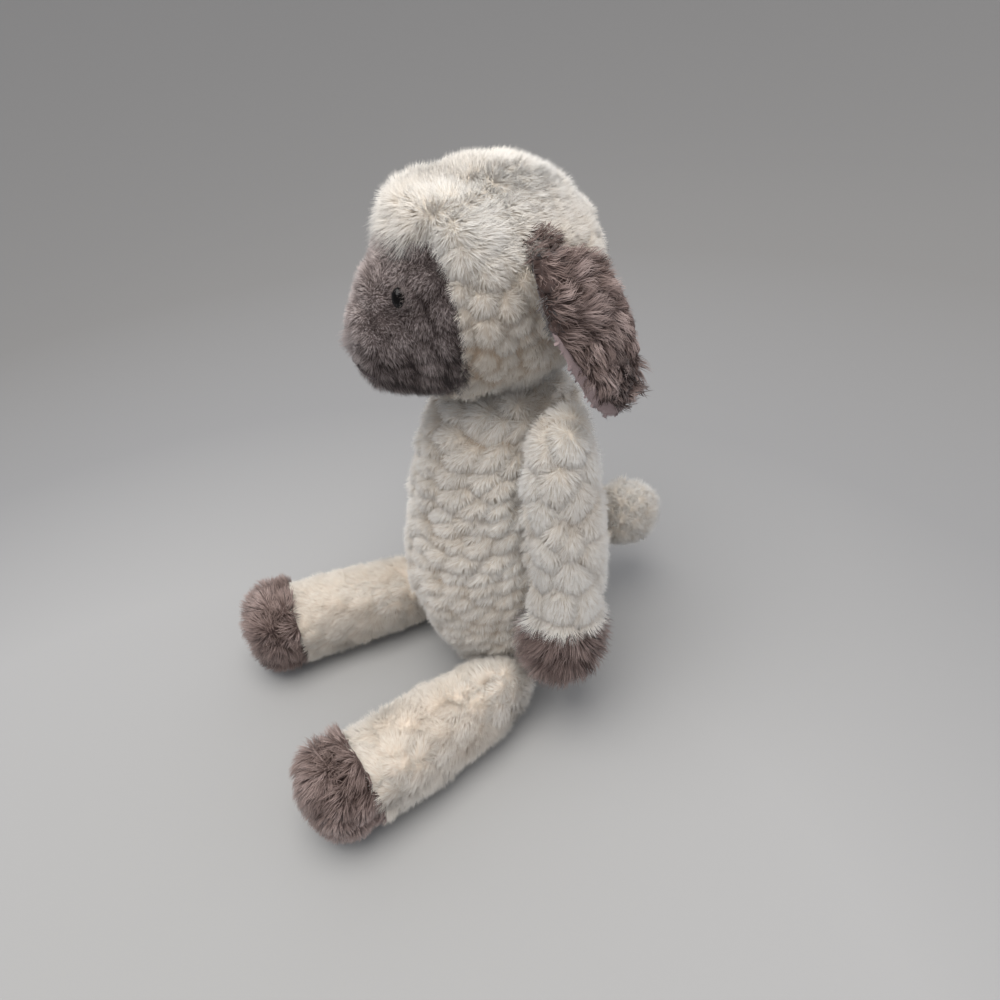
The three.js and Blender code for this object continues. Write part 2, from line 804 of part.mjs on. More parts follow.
function armFrame(side) {
  const place = new THREE.Vector3(side * shoulderOut, shoulderBack, shoulderHeight);
  const forward = Math.PI / 2 - radians(armForwardLean);
  const out = side * radians(armOutLean);
  const turn = new THREE.Quaternion().setFromEuler(new THREE.Euler(forward, 0, out));
  return new THREE.Matrix4().compose(place, turn, new THREE.Vector3(1, 1, 1));
}

function addArm(carrier, side, name) {
  const rings = limbRings(armTube, pawTip, () => 0);
  const dish = (inset) => sideDish(side, inset);
  const pieces = limbPieces(armTube, pawTip, rings, armFrame(side), armHinge(side), dish);
  meshOf(name + "_arm_skin", pieces.sleeve, cloth(colours.wool), carrier);
  meshOf(name + "_paw", pieces.end, cloth(colours.taupe), carrier);
  meshOf(name + "_arm_stuffing", pieces.filling, cloth(colours.stuffing), carrier);
}

// Legs

const legTube = {
  behind: legBehindHip,
  length: legTubeLength,
  radius: legRadius,
  shares: legTubeShares,
};
const footTip = { length: footLength, radius: footRadius, shares: footShares };

function legPivot(side) {
  return new THREE.Vector3(side * hipOut, -hipForward, hipHeight);
}

function legHinge(side) {
  return { pivot: legPivot(side), axis: swingAxis(side, legSplay), low: -legDrop, high: legLift };
}

function legFrame(side) {
  const turn = new THREE.Quaternion().setFromAxisAngle(zAxis, side * radians(legSplay));
  return new THREE.Matrix4().compose(legPivot(side), turn, new THREE.Vector3(1, 1, 1));
}

// The underside lies level on the floor: the middle of a leg is as high as the leg is thick.
function legMiddle(place, radius) {
  const settled = Math.min(1, Math.max(0, place / (legTubeLength * legSettleShare)));
  const level = Math.max(radius - seatFlatDepth - hipHeight, -radius * toeRiseShare);
  return level * settled;
}

function addLeg(carrier, side, name) {
  const rings = limbRings(legTube, footTip, legMiddle);
  const pieces = limbPieces(legTube, footTip, rings, legFrame(side), legHinge(side), bodyForm);
  meshOf(name + "_leg_skin", pieces.sleeve, cloth(colours.warmWool), carrier);
  meshOf(name + "_foot", pieces.end, cloth(colours.taupe), carrier);
  meshOf(name + "_leg_stuffing", pieces.tubeFilling, cloth(colours.stuffing), carrier);
  meshOf(name + "_foot_bean_bag", pieces.endFilling, cloth(colours.bag), carrier);
}

// Tail

const tailPivot = new THREE.Vector3(0, tailRootBack, tailHeight);

function tailForm(inset) {
  const rings = tailShares.map(([place, size]) => ({
    centre: new THREE.Vector3(0, tailEnd - tailLength * (1 - place), tailHeight),
    across: xAxis.clone().multiplyScalar(tailRadius * size),
    up: zAxis.clone().multiplyScalar(tailRadius * size),
  }));
  return loft(drawnIn(rings, inset), limbSides);
}

function addTail(carrier) {
  const hinge = { pivot: tailPivot, axis: xAxis, low: -tailSwing, high: tailSwing };
  const pieces = skinAndStuffing((inset) => solidOf(tailForm(inset)), hinge, bodyForm);
  const start = new THREE.Vector3(0, 0, tailHeight);
  const opening = solidOf(bar(start, yAxis, tailOpeningRadius, tailEnd - tailRadius, barSides));
  meshOf("tail_skin", biggest(pieces.skin.subtract(opening)), cloth(colours.wool), carrier);
  meshOf("tail_stuffing", pieces.stuffing, cloth(colours.stuffing), carrier);
}

// The scene graph: each group stands at the hinge that it turns about.

function groupAt(parent, point) {
  const group = new THREE.Group();
  group.position.copy(point).sub(parent.getWorldPosition(new THREE.Vector3()));
  parent.add(group);
  return group;
}

const sheep = new THREE.Group();
addBody(sheep);
const neck = groupAt(sheep, neckCentre);
meshOf("neck_stuffing", neckBall(0), cloth(colours.stuffing), neck);
const head = groupAt(neck, neckCentre);
addHead(head);
addTail(groupAt(sheep, tailPivot));
const sides = [
  [1, "left"],
  [-1, "right"],
];
for (const [side, name] of sides) {
  addEar(groupAt(head, earRoot(side)), side, name);
  addArm(groupAt(sheep, armPivot(side)), side, name);
  addLeg(groupAt(sheep, legPivot(side)), side, name);
}

export default sheep;
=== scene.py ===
# %% [markdown]
# # A plush sheep in cloth and pile
# The real sheep is cut from long-haired plush, sewn inside out, turned and stuffed. A photograph
# of such a toy shows almost no cloth: it shows pile, thousands of fine fibres that lean, part and
# mat together. So this lesson builds each sewn panel as a thin closed shell over its stuffing,
# presses the matted tufts into it, and then grows every fibre as a small closed spike of real
# mesh.

# %% Load the fixed model
import math

import bpy
import numpy as np
from mathutils import Matrix, Vector
from mathutils.bvhtree import BVHTree
from mathutils.kdtree import KDTree


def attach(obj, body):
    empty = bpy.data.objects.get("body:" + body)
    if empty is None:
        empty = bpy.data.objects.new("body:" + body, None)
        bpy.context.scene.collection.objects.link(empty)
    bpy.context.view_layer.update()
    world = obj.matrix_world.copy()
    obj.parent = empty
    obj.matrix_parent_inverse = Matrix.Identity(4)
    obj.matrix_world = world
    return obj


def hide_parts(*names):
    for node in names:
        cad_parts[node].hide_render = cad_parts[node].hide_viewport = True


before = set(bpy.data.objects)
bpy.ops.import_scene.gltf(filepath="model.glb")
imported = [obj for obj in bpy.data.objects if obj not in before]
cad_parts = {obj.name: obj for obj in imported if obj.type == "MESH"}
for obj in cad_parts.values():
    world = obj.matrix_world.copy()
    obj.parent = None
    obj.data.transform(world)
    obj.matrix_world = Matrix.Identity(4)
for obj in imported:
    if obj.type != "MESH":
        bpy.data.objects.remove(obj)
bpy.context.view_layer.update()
MM = 0.001

# %% [markdown]
# ## The camera
# The photograph looks down on the sheep's left side from close by. Its place and its three axes
# are written as numbers in the sheep's own frame, because the camera has no other part to line up
# with.

# %% Place the camera
CAMERA_PLACE = Vector((269.825, -97.87, 330.702)) * MM
CAMERA_RIGHT = Vector((0.4442, 0.8849, -0.1404))
CAMERA_DOWN = Vector((0.5260, -0.3844, -0.7587))
LENS_MM = 27.751
SENSOR_MM = 36.0
NEAREST_SEEN = 1 * MM


def add_camera():
    camera = bpy.data.objects.new("camera", bpy.data.cameras.new("camera"))
    bpy.context.scene.collection.objects.link(camera)
    right = CAMERA_RIGHT.normalized()
    back = right.cross(-CAMERA_DOWN).normalized()
    up = back.cross(right)
    turn = Matrix((right, up, back)).transposed()
    camera.matrix_world = Matrix.Translation(CAMERA_PLACE) @ turn.to_4x4()
    camera.data.lens = LENS_MM
    camera.data.sensor_width = SENSOR_MM
    camera.data.clip_start = NEAREST_SEEN
    bpy.context.scene.camera = camera


add_camera()
print("camera:", [round(value / MM, 1) for value in CAMERA_PLACE], "mm, lens", LENS_MM, "mm")

# %% [markdown]
# ## Small helpers
# A colour is picked on a screen, but a shader works in linear light, so one helper converts it. A
# mesh of a million fibres would take minutes if each point were added by hand, so meshes are
# filled from whole arrays at once. The last helpers shorten the making of a material's nodes.

# %% Helpers for colours and meshes
def colour(red, green, blue):
    """A colour picked on a screen, from 0 to 255, as the linear light that shaders use."""
    shares = np.array((red, green, blue)) / 255
    linear = np.where(shares <= 0.04045, shares / 12.92, ((shares + 0.055) / 1.055) ** 2.4)
    return (*linear.tolist(), 1.0)


def mesh_from(name, points, faces):
    """A mesh from points and faces that all have the same number of corners."""
    mesh = bpy.data.meshes.new(name)
    corners = faces.shape[1]
    mesh.vertices.add(len(points))
    mesh.vertices.foreach_set("co", points.astype(np.float32).ravel())
    mesh.loops.add(faces.size)
    mesh.loops.foreach_set("vertex_index", faces.astype(np.int32).ravel())
    mesh.polygons.add(len(faces))
    mesh.polygons.foreach_set("loop_start", np.arange(0, faces.size, corners, dtype=np.int32))
    mesh.update(calc_edges=True)
    mesh.polygons.foreach_set("use_smooth", np.ones(len(faces), bool))
    return mesh


def add_object(name, mesh):
    thing = bpy.data.objects.new(name, mesh)
    bpy.context.scene.collection.objects.link(thing)
    return thing


# %% Helpers for materials
def node_in(material, kind, **values):
    node = material.node_tree.nodes.new("ShaderNode" + kind)
    for key, value in values.items():
        setattr(node, key, value)
    return node


def ramp_node(material, stops):
    """A colour ramp through (place, colour) stops."""
    node = node_in(material, "ValToRGB")
    ends = node.color_ramp.elements
    for place, _ in stops[1:-1]:
        ends.new(place)
    for element, (place, shade) in zip(ends, stops, strict=True):
        element.position, element.color = place, shade
    return node


def new_material(name, roughness):
    """A named material, its main shader, and the function that links two of its sockets."""
    material = bpy.data.materials.new(name)
    material.use_nodes = True
    shader = material.node_tree.nodes["Principled BSDF"]
    shader.inputs["Roughness"].default_value = roughness
    return material, shader, material.node_tree.links.new


# %% [markdown]
# ## The floor
# A studio lays a sheet of seamless paper under a toy and lets it rise behind it. A plain plane
# would end in a hard line, so this paper is round and its rim bends up on every side, which gives
# the same setting from each view. Its colour is painted paler near the toy and greyer far away, a
# painted pool of light and its falloff. The backdrop casts no shadow, so it takes nothing from the
# sky's light.

# %% Colour the paper
PAPER_ROUGHNESS = 0.9
# Painted light: the paper is coloured paler round this spot near the toy and greyer far from it, a
# painted pool of light and its falloff.
LIGHT_POOL_SPOT = (0.15, -0.25, 0)
PAPER_LIGHT_FALLOFF = ((0.0, colour(170, 170, 168)), (0.3, colour(171, 171, 170)),
               (0.5, colour(149, 149, 149)), (0.8, colour(139, 138, 136)))
PAPER_GRAIN = 700.0
PAPER_BUMP = 0.05
PAPER_GRAIN_HEIGHT = 0.2 * MM


def paper_material():
    material, shader, link = new_material("paper", PAPER_ROUGHNESS)
    place = node_in(material, "NewGeometry")
    apart = node_in(material, "VectorMath", operation="DISTANCE")
    apart.inputs[1].default_value = LIGHT_POOL_SPOT
    ramp = ramp_node(material, PAPER_LIGHT_FALLOFF)
    noise = node_in(material, "TexNoise")
    noise.inputs["Scale"].default_value = PAPER_GRAIN
    bump = node_in(material, "Bump")
    bump.inputs["Strength"].default_value = PAPER_BUMP
    bump.inputs["Distance"].default_value = PAPER_GRAIN_HEIGHT
    link(place.outputs["Position"], apart.inputs[0])
    link(place.outputs["Position"], noise.inputs["Vector"])
    link(apart.outputs["Value"], ramp.inputs["Fac"])
    link(ramp.outputs["Color"], shader.inputs["Base Color"])
    link(noise.outputs["Fac"], bump.inputs["Height"])
    link(bump.outputs["Normal"], shader.inputs["Normal"])
    return material


# %% Lay the paper
PAPER_FLAT = 0.8
PAPER_BEND = 2.2
PAPER_TOP = 3.0
PAPER_SIDES = 128
PAPER_HUB = 0.02
FLOOR_RINGS = 24
BEND_RINGS = 40


def rings_of_paper(out, up):
    """A mesh of rings round the toy, given each ring's radius and height."""
    turn = np.linspace(0, 2 * np.pi, PAPER_SIDES, endpoint=False)
    points = np.stack([out[:, None] * np.cos(turn), out[:, None] * np.sin(turn),
                       np.repeat(up[:, None], PAPER_SIDES, 1)], -1).reshape(-1, 3)
    here = np.arange(len(out) - 1)[:, None] * PAPER_SIDES + np.arange(PAPER_SIDES)
    beside = np.arange(len(out) - 1)[:, None] * PAPER_SIDES + np.roll(np.arange(PAPER_SIDES), -1)
    faces = np.stack([here, beside, beside + PAPER_SIDES, here + PAPER_SIDES], -1)
    return points, faces.reshape(-1, 4)[:, ::-1]


def lay_paper():
    finish = paper_material()
    points, faces = rings_of_paper(np.linspace(PAPER_HUB, PAPER_FLAT, FLOOR_RINGS),
                                   np.zeros(FLOOR_RINGS))
    floor = add_object("floor", mesh_from("floor", points, faces))
    hub = np.arange(PAPER_SIDES)
    points = np.vstack([points[:PAPER_SIDES], [[0, 0, 0]]])
    middle = add_object("floor_middle", mesh_from("floor_middle", points, np.stack(
        [hub, np.roll(hub, -1), np.full_like(hub, PAPER_SIDES)], 1)))
    climb = np.linspace(0, np.pi / 2, BEND_RINGS)
    points, faces = rings_of_paper(PAPER_FLAT + PAPER_BEND * np.sin(climb),
                                   PAPER_TOP * (1 - np.cos(climb)))
    backdrop = add_object("backdrop", mesh_from("backdrop", points, faces))
    backdrop.visible_shadow = False
    backdrop.visible_diffuse = False
    for sheet in (floor, middle, backdrop):
        sheet.data.materials.append(finish)
    print("paper faces:", sum(len(sheet.data.polygons) for sheet in (floor, middle, backdrop)))


lay_paper()

# %% [markdown]
# ## The light
# The photograph has soft light from all sides and faint shadows. A few small lamps would give each
# fibre a hard shadow, so the light is an even sky with one wide soft panel overhead.

# %% Set the sky and hang the lamp
SKY_LIGHT = 0.74
SKY_TINT = colour(248, 249, 255)
LAMP_PLACE = Vector((0.15, -0.15, 1.4))
LAMP_AIM = Vector((0, 0, 0.1))
LAMP_SIZE = 1.2
LAMP_WATTS = 14.5
LAMP_TINT = colour(255, 251, 246)


def set_sky():
    scene = bpy.context.scene
    scene.view_settings.view_transform = "Standard"
    world = bpy.data.worlds.new("sky")
    world.use_nodes = True
    scene.world = world
    sky = world.node_tree.nodes["Background"]
    sky.inputs["Color"].default_value = SKY_TINT
    sky.inputs["Strength"].default_value = SKY_LIGHT


def hang_lamp():
    lamp = bpy.data.lights.new("overhead", "AREA")
    lamp.shape = "DISK"
    lamp.size = LAMP_SIZE
    lamp.energy = LAMP_WATTS
    lamp.color = LAMP_TINT[:3]
    thing = add_object("overhead", lamp)
    thing.location = LAMP_PLACE
    thing.rotation_euler = (LAMP_AIM - LAMP_PLACE).to_track_quat("-Z", "Y").to_euler()


set_sky()
hang_lamp()
print("sky strength:", SKY_LIGHT, "lamp, W:", LAMP_WATTS)

# %% [markdown]
# ## From a hard form to a cloth skin
# The fixed model has a plain solid for every skin and filling. Their meshes could be subdivided
# one by one, but each would keep its own seams. Joining those of one limb and walking a fine even
# grid over them gives one smooth form instead. All the cloth, tufts and pile then start from this
# form, so they follow the model if it changes.

# %% Read the solids
def read(items, name, width, kind=np.float32):
    found = np.empty(len(items) * width, kind)
    items.foreach_get(name, found)
    return found.reshape(-1, width)


def solids_of(names):
    """The points and triangles of several nodes together."""
    points, faces, count = [], [], 0
    for name in names:
        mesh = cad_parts[name].data
        mesh.calc_loop_triangles()
        points.append(read(mesh.vertices, "co", 3))
        faces.append(read(mesh.loop_triangles, "vertices", 3, np.int32) + count)
        count += len(mesh.vertices)
    return np.vstack(points), np.vstack(faces)


def evaluated(mesh, kind, **settings):
    """A mesh's points and four-cornered faces after one modifier."""
    thing = add_object("blank", mesh)
    modifier = thing.modifiers.new(kind, kind)
    for key, value in settings.items():
        setattr(modifier, key, value)
    made = thing.evaluated_get(bpy.context.evaluated_depsgraph_get()).to_mesh()
    points = read(made.vertices, "co", 3).astype(float)
    faces = read(made.polygons, "loop_total", 1, np.int32)
    assert (faces == 4).all(), "the even grid has only four-cornered faces"
    faces = read(made.loops, "vertex_index", 1, np.int32).reshape(-1, 4)
    bpy.data.objects.remove(thing)
    bpy.data.meshes.remove(mesh)
    return points, faces


# %% Even out a grid of points
SMOOTH_SHARE = 0.5


def edges_of(faces):
    pairs = np.concatenate([faces[:, [i, (i + 1) % 4]] for i in range(4)])
    return np.unique(np.sort(pairs, 1), axis=0)


def relaxed(values, edges, rounds):
    """Values at points, each moved towards the mean of its neighbours, round after round."""
    count = np.bincount(edges.ravel(), minlength=len(values))[:, None].clip(1)
    for _ in range(rounds):
        total = np.zeros_like(values)
        for axis in range(values.shape[1]):
            total[:, axis] = np.bincount(edges[:, 0], values[edges[:, 1], axis], len(values))
            total[:, axis] += np.bincount(edges[:, 1], values[edges[:, 0], axis], len(values))
        values = values + SMOOTH_SHARE * (total / count - values)
    return values


def unit(vectors):
    return vectors / np.linalg.norm(vectors, axis=-1, keepdims=True).clip(1e-12)


def normals_of(points, faces):
    """The outward direction at each point of a grid of four-cornered faces."""
    a, b, c, d = (points[faces[:, i]] for i in range(4))
    face = np.cross(c - a, d - b)
    total = np.zeros_like(points)
    for corner in range(4):
        for axis in range(3):
            total[:, axis] += np.bincount(faces[:, corner], face[:, axis], len(points))
    return unit(total)


# %% Make the smooth forms
class Form:
    """A smooth closed form: its points, outward directions and faces, in metres."""

    def __init__(self, nodes, grid, rounds, levels=1):
        points, faces = solids_of(nodes)
        points, faces = evaluated(mesh_from("blank", points, faces), "REMESH", mode="VOXEL",
                                  voxel_size=grid)
        points = relaxed(points, edges_of(faces), rounds)
        if levels:
            points, faces = evaluated(mesh_from("blank", points, faces), "SUBSURF",
                                      levels=levels, render_levels=levels)
        self.faces = faces
        self.edges = edges_of(faces)
        self.points = points
        self.normals = normals_of(points, faces)
        a, b, c, d = (points[faces[:, i]] for i in range(4))
        self.area = np.linalg.norm(np.cross(c - a, d - b), axis=1).sum() / 2

    def to_nodes(self, nodes):
        """Each point's distance to the nearest of some nodes, and the way there."""
        points, faces = solids_of(nodes)
        tree = BVHTree.FromPolygons(points.tolist(), faces.tolist())
        found = [tree.find_nearest(place)[::3] for place in self.points.tolist()]
        nearest, gaps = (np.array(values) for values in zip(*found, strict=True))
        return gaps, nearest - self.points


def nearer(form, nodes, others):
    """The faces of a form that lie nearer to some nodes than to others."""
    near, _ = form.to_nodes(nodes)
    far, _ = form.to_nodes(others)
    return (near < far)[form.faces].mean(1) > 0.5


body = Form(["body_skin", "body_stuffing", "seat_bean_bag", "neck_stuffing"],
            grid=2.0 * MM, rounds=16)
print("body form:", len(body.points), "points")

# %% [markdown]
# ## Tufts and locks
# Plush like this is crushed in the mill, so its pile mats into cobbles about a centimetre across.
# A noise texture as bump would give lumps without gaps between them, and none on the outline. Here
# seeded points are spread over a form, each point of the form belongs to the nearest, and the
# cloth sinks where two cobbles meet. Finer groups of the same kind are the locks, whose tips cling
# together.

# %% Group a form's points round seeded centres
TRIES_PER_SEED = 12
SEED_SIZES = (0.35, 1.2)


def spread_seeds(points, spacing, rng, area):
    """Random points that keep apart, some by more and some by less than the spacing."""
    tries = min(len(points), int(TRIES_PER_SEED * area / spacing ** 2))
    cells, kept = {}, []
    order = rng.choice(len(points), tries, replace=False).tolist()
    sizes = rng.uniform(*SEED_SIZES, tries).tolist()
    for index, size in zip(order, sizes, strict=True):
        x, y, z = (points[index] / spacing).tolist()
        i, j, k = int(x // 1), int(y // 1), int(z // 1)
        near = [cells[key] for key in ((i + a, j + b, k + c) for a in (-1, 0, 1)
                                       for b in (-1, 0, 1) for c in (-1, 0, 1)) if key in cells]
        if all((x - u) ** 2 + (y - v) ** 2 + (z - w) ** 2 > max(size, other)
               for u, v, w, other in near):
            cells[i, j, k] = (x, y, z, size)
            kept.append(index)
    return np.array(kept)


def grouped(points, seeds):
    """For each point the nearest seed, and how far inside its patch the point lies, from 0 to 1."""
    tree = KDTree(len(seeds))
    for number, place in enumerate(points[seeds].tolist()):
        tree.insert(place, number)
    tree.balance()
    found = [tree.find_n(place, 2) for place in points.tolist()]
    first = np.array([pair[0][1] for pair in found])
    near = np.array([pair[0][2] for pair in found])
    far = np.array([pair[1][2] for pair in found])
    return first, (far - near) / (far + near)


# %% Helpers for soft steps and slow waves
DRIFT_WAVES = 7
DRIFT_BEND = 2.5


def smoothstep(value):
    value = np.clip(value, 0, 1)
    return value * value * (3 - 2 * value)


def rise(value, start, width):
    """0 up to the start, 1 from a width past it on, and a smooth step between."""
    return smoothstep((value - start) / width)


def fall(value, end, width):
    """1 up to a width before the end, 0 from the end on, and a smooth step between."""
    return smoothstep((end - value) / width)


def close_to(gap, reach):
    """1 where a gap is nothing, 0 where it is the reach or more, and a smooth step between."""
    return smoothstep(1 - gap / reach)


def drift(points, size, rng, channels=1):
    """Slow random waves over the points, mostly between -1 and 1."""
    total = np.zeros((len(points), channels))
    for _ in range(DRIFT_WAVES):
        waves = rng.normal(size=(3, channels)) * DRIFT_BEND / size
        total += np.sin(points @ waves + rng.random(channels) * 2 * np.pi)
    return total / DRIFT_WAVES ** 0.5


# %% Press the cobbles into the cloth
NAP_DRIFT = 30 * MM
BLOTCH_SIZE = 26 * MM
DOME_EDGE = 0.6
DOME_POWER = 0.6
SAG = 0.2
BLOTCH_SWELL = 0.25
UNEVENNESS = 0.3
CLOTH_ROUNDS = 2


class Cloth:
    """One form's skin: where the cloth lies under the outline, its cobbles, its locks and its nap.

    nap is the way its pile lies, and wander how far that strays. depth is how far the crests lie
    under the outline, and relief how much deeper the creases are. cobble and lock are how far apart
    their middles lie. warp reshapes the cobbles, and lift raises the cloth.
    """

    def __init__(self, form, nap, depth, cobble, relief, lock, seed, warp=None, lift=0.0,
                 wander=0.3):
        self.form = form
        self.rng = np.random.default_rng(seed)
        self.reach = cobble / 2
        warped = form.points if warp is None else warp(form.points)
        seeds = spread_seeds(warped, cobble, self.rng, form.area)
        self.cobble, inside = grouped(warped, seeds)
        self.nap = unit(nap + drift(form.points, NAP_DRIFT, self.rng, 3) * wander)
        self.middle = form.points[seeds][self.cobble]
        dome = np.sin(np.pi / 2 * np.clip(inside / DOME_EDGE, 0, 1)) ** DOME_POWER
        lower = ((form.points - self.middle) * self.nap).sum(1) / self.reach
        self.crest = relaxed(dome[:, None], form.edges, CLOTH_ROUNDS)[:, 0]
        self.shade = self.rng.random(len(seeds))[self.cobble]
        self.whim = self.rng.normal(size=(len(seeds), 3))[self.cobble]
        self.blotch = drift(form.points, BLOTCH_SIZE, self.rng)[:, 0]
        height = self.crest * (1 - SAG + SAG * np.clip(lower, -1, 1))
        height *= 1 + BLOTCH_SWELL * self.blotch
        sink = depth + relief * (1 - height) + relief * UNEVENNESS * (self.shade - 0.5) - lift
        sink = relaxed(sink[:, None], form.edges, CLOTH_ROUNDS)
        self.points = form.points - form.normals * sink
        self.normals = normals_of(self.points, form.faces)
        count = int(form.area / lock ** 2)
        self.lock, _ = grouped(form.points, self.rng.choice(len(form.points), count, False))
        self.lock_count = count
        self.lock_tone = self.rng.random(count) - 0.5

    def flat(self, vectors):
        """Vectors without the part that points out of the cloth."""
        return vectors - self.normals * (vectors * self.normals).sum(1, keepdims=True)


def all_along(form, x, y, z):
    """The same direction at every point of a form."""
    return np.tile(unit(np.array([[x, y, z]], float)), (len(form.points), 1))


# %% [markdown]
# ## The body's cloth
# The body is one pear-shaped bag. Its cobbles are wider than high and lie in rows that climb
# towards the back. Evenly spread seeds would hide those rows, so the points are squeezed and
# slanted before the seeds are spread.

# %% Press the body's cobbles
ROW_CLIMB = 0.45
ROW_SQUEEZE = 1.45
ROW_STRETCH = 0.66
BELLY_LIFT = 2.0 * MM
BELLY_TOP = (120 * MM, 60 * MM)


def rows_on_body(points):
    rows = points.copy()
    rows[:, 2] = (points[:, 2] - ROW_CLIMB * points[:, 1]) * ROW_SQUEEZE
    rows[:, :2] *= ROW_STRETCH
    return rows


belly = smoothstep(-body.normals[:, 1]) * fall(body.points[:, 2], *BELLY_TOP)
body_cloth = Cloth(body, all_along(body, 0, -0.45, -1), depth=0.9 * MM, cobble=8.5 * MM,
                   relief=4.8 * MM, lock=2.2 * MM, seed=11, warp=rows_on_body,
                   lift=BELLY_LIFT * belly)
print("body cobbles:", body_cloth.cobble.max() + 1, "locks:", body_cloth.lock_count)

# %% [markdown]
# ## Growing pile
# Hair particles would draw the fibres only in a render, but every piece of this model is plain
# mesh.
# So a fibre is a thin three-sided spike, closed at its root and pointed at its tip. It leaves the
# cloth nearly upright, leans with the nap, fans out from the middle of its cobble, and its tip is
# drawn towards the tips of its lock. It carries two numbers for its finish: how light it is, and
# how far along it each point lies.

# %% Describe a kind of pile
class Pile:
    """How one kind of pile grows. Lengths are in metres, and the rest are shares.

    nap is how far it leans with the nap, fan from the middle of its cobble, whim with its cobble's
    own whim, and mess at random. gather is how far the tips of a lock cling together. steps is the
    number of straight pieces in a fibre, arch how far it bows, wave how far it swings, and vary how
    much lengths differ. soft is how far a fibre is lit like the cloth under it. speckle and streaks
    are how much the lightness differs by fibre and by lock. crease_shade is how much darker the
    fibres in the hollows between cobbles are painted: painted shade.
    """

    def __init__(self, per_mm2, length, width, nap, fan=0.0, whim=0.0, mess=0.3, gather=0.4,
                 steps=1, arch=0.1, wave=0.0, vary=0.25, soft=0.6, speckle=0.3, streaks=0.0,
                 crease_shade=0.4):
        self.per_mm2 = per_mm2
        self.length = length
        self.width = width
        self.nap = nap
        self.fan = fan
        self.whim = whim
        self.mess = mess
        self.gather = gather
        self.steps = steps
        self.arch = arch
        self.wave = wave
        self.vary = vary
        self.soft = soft
        self.speckle = speckle
        self.streaks = streaks
        self.crease_shade = crease_shade


# %% Spread the roots
def roots_on(cloth, chosen, density, rng):
    """Random roots, even by area, on the chosen faces: places, directions and nearest points."""
    faces = cloth.form.faces[chosen]
    triangles = np.concatenate([faces[:, :3], faces[:, [0, 2, 3]]])
    a, b, c = (cloth.points[triangles[:, i]] for i in range(3))
    area = np.linalg.norm(np.cross(b - a, c - a), axis=1) / 2
    count = int(area.sum() / MM ** 2 * density)
    reach = np.cumsum(area)
    picked = np.searchsorted(reach, rng.random(count) * reach[-1]).clip(0, len(area) - 1)
    shares = rng.random((count, 2))
    shares = np.where(shares.sum(1, keepdims=True) > 1, 1 - shares, shares)
    shares = np.column_stack([1 - shares.sum(1), shares])
    corners = triangles[picked]
    places = (cloth.points[corners] * shares[..., None]).sum(1)
    directions = unit((cloth.normals[corners] * shares[..., None]).sum(1))
    return places, directions, corners[np.arange(count), shares.argmax(1)]


# %% Draw the tips of each lock together
LOOSEST_HOLD = 0.4


def means_by(group, count, values):
    """For each member of a group, the mean of the whole group's values."""
    size = np.bincount(group, minlength=count).clip(1)
    return np.stack([np.bincount(group, v, count) / size for v in values.T], 1)[group]


def tips_of(cloth, pile, root, up, near, length):
    """Where the fibres end: leaned over, and then drawn towards the middle of their lock's tips."""
    rng, count = cloth.rng, len(root)
    lean = cloth.flat(cloth.nap)[near] * pile.nap
    lean += cloth.flat(cloth.points - cloth.middle)[near] / cloth.reach * pile.fan
    lean += cloth.flat(cloth.whim)[near] * pile.whim
    lean += unit(rng.normal(size=(count, 3))) * pile.mess
    tip = root + unit(up + lean) * length[:, None]
    hold = pile.gather * (LOOSEST_HOLD + (1 - LOOSEST_HOLD) * rng.random(count))[:, None]
    return tip + (means_by(cloth.lock[near], cloth.lock_count, tip) - tip) * hold


# %% Bend the fibres
SWING_SPREAD = 0.8
GOLDEN_ANGLE = 2.399
OVER_FLOOR = 0.25 * MM


def bent(pile, root, up, tip, length, lock, rng):
    """The fibres' middle lines: bowed outwards, and swung from side to side if the pile is wavy."""
    along = np.linspace(0, 1, pile.steps + 1)[None, :, None]
    line = root[:, None] + (tip - root)[:, None] * along
    bow = (4 * along * (1 - along)) * pile.arch
    line = line + up[:, None] * bow * length[:, None, None]
    if pile.wave:
        side = unit(np.cross(tip - root, up))
        phase = (lock * GOLDEN_ANGLE) % (2 * np.pi) + rng.random(len(root)) * SWING_SPREAD
        swing = np.sin(phase[:, None] + along[..., 0] * 2 * np.pi) * along[..., 0]
        line = line + side[:, None] * (swing * length[:, None] * pile.wave)[..., None]
    line[..., 2] = np.maximum(line[..., 2], OVER_FLOOR)
    return line


# %% Shade the fibres
MIDDLE_SHADE = 0.5
COBBLE_SHADE = 0.2
BLOTCH_SHADE = 0.1
CREST_LEVEL = 0.8
THINNEST = 0.75
SHORTEST = 0.4 * MM
DARKEST, LIGHTEST = 0.02, 0.98


def picked_from(values, index):
    """A plain number stays as it is, and an array gives its values at the index."""
    return values[index] if np.ndim(values) else values


def shades_of(cloth, pile, near):
    """How light each fibre is, before any zone's own lightness."""
    shade = MIDDLE_SHADE + COBBLE_SHADE * (cloth.shade[near] - 0.5)
    shade += pile.speckle * (cloth.rng.random(len(near)) - 0.5)
    # Painted shade and light: fibres in the hollows between cobbles are painted darker, and those
    # on high crests lighter. The blotch is tone that differs at random.
    shade += pile.crease_shade * (cloth.crest[near] - CREST_LEVEL) + BLOTCH_SHADE * cloth.blotch[near]
    return shade + pile.streaks * cloth.lock_tone[cloth.lock[near]]


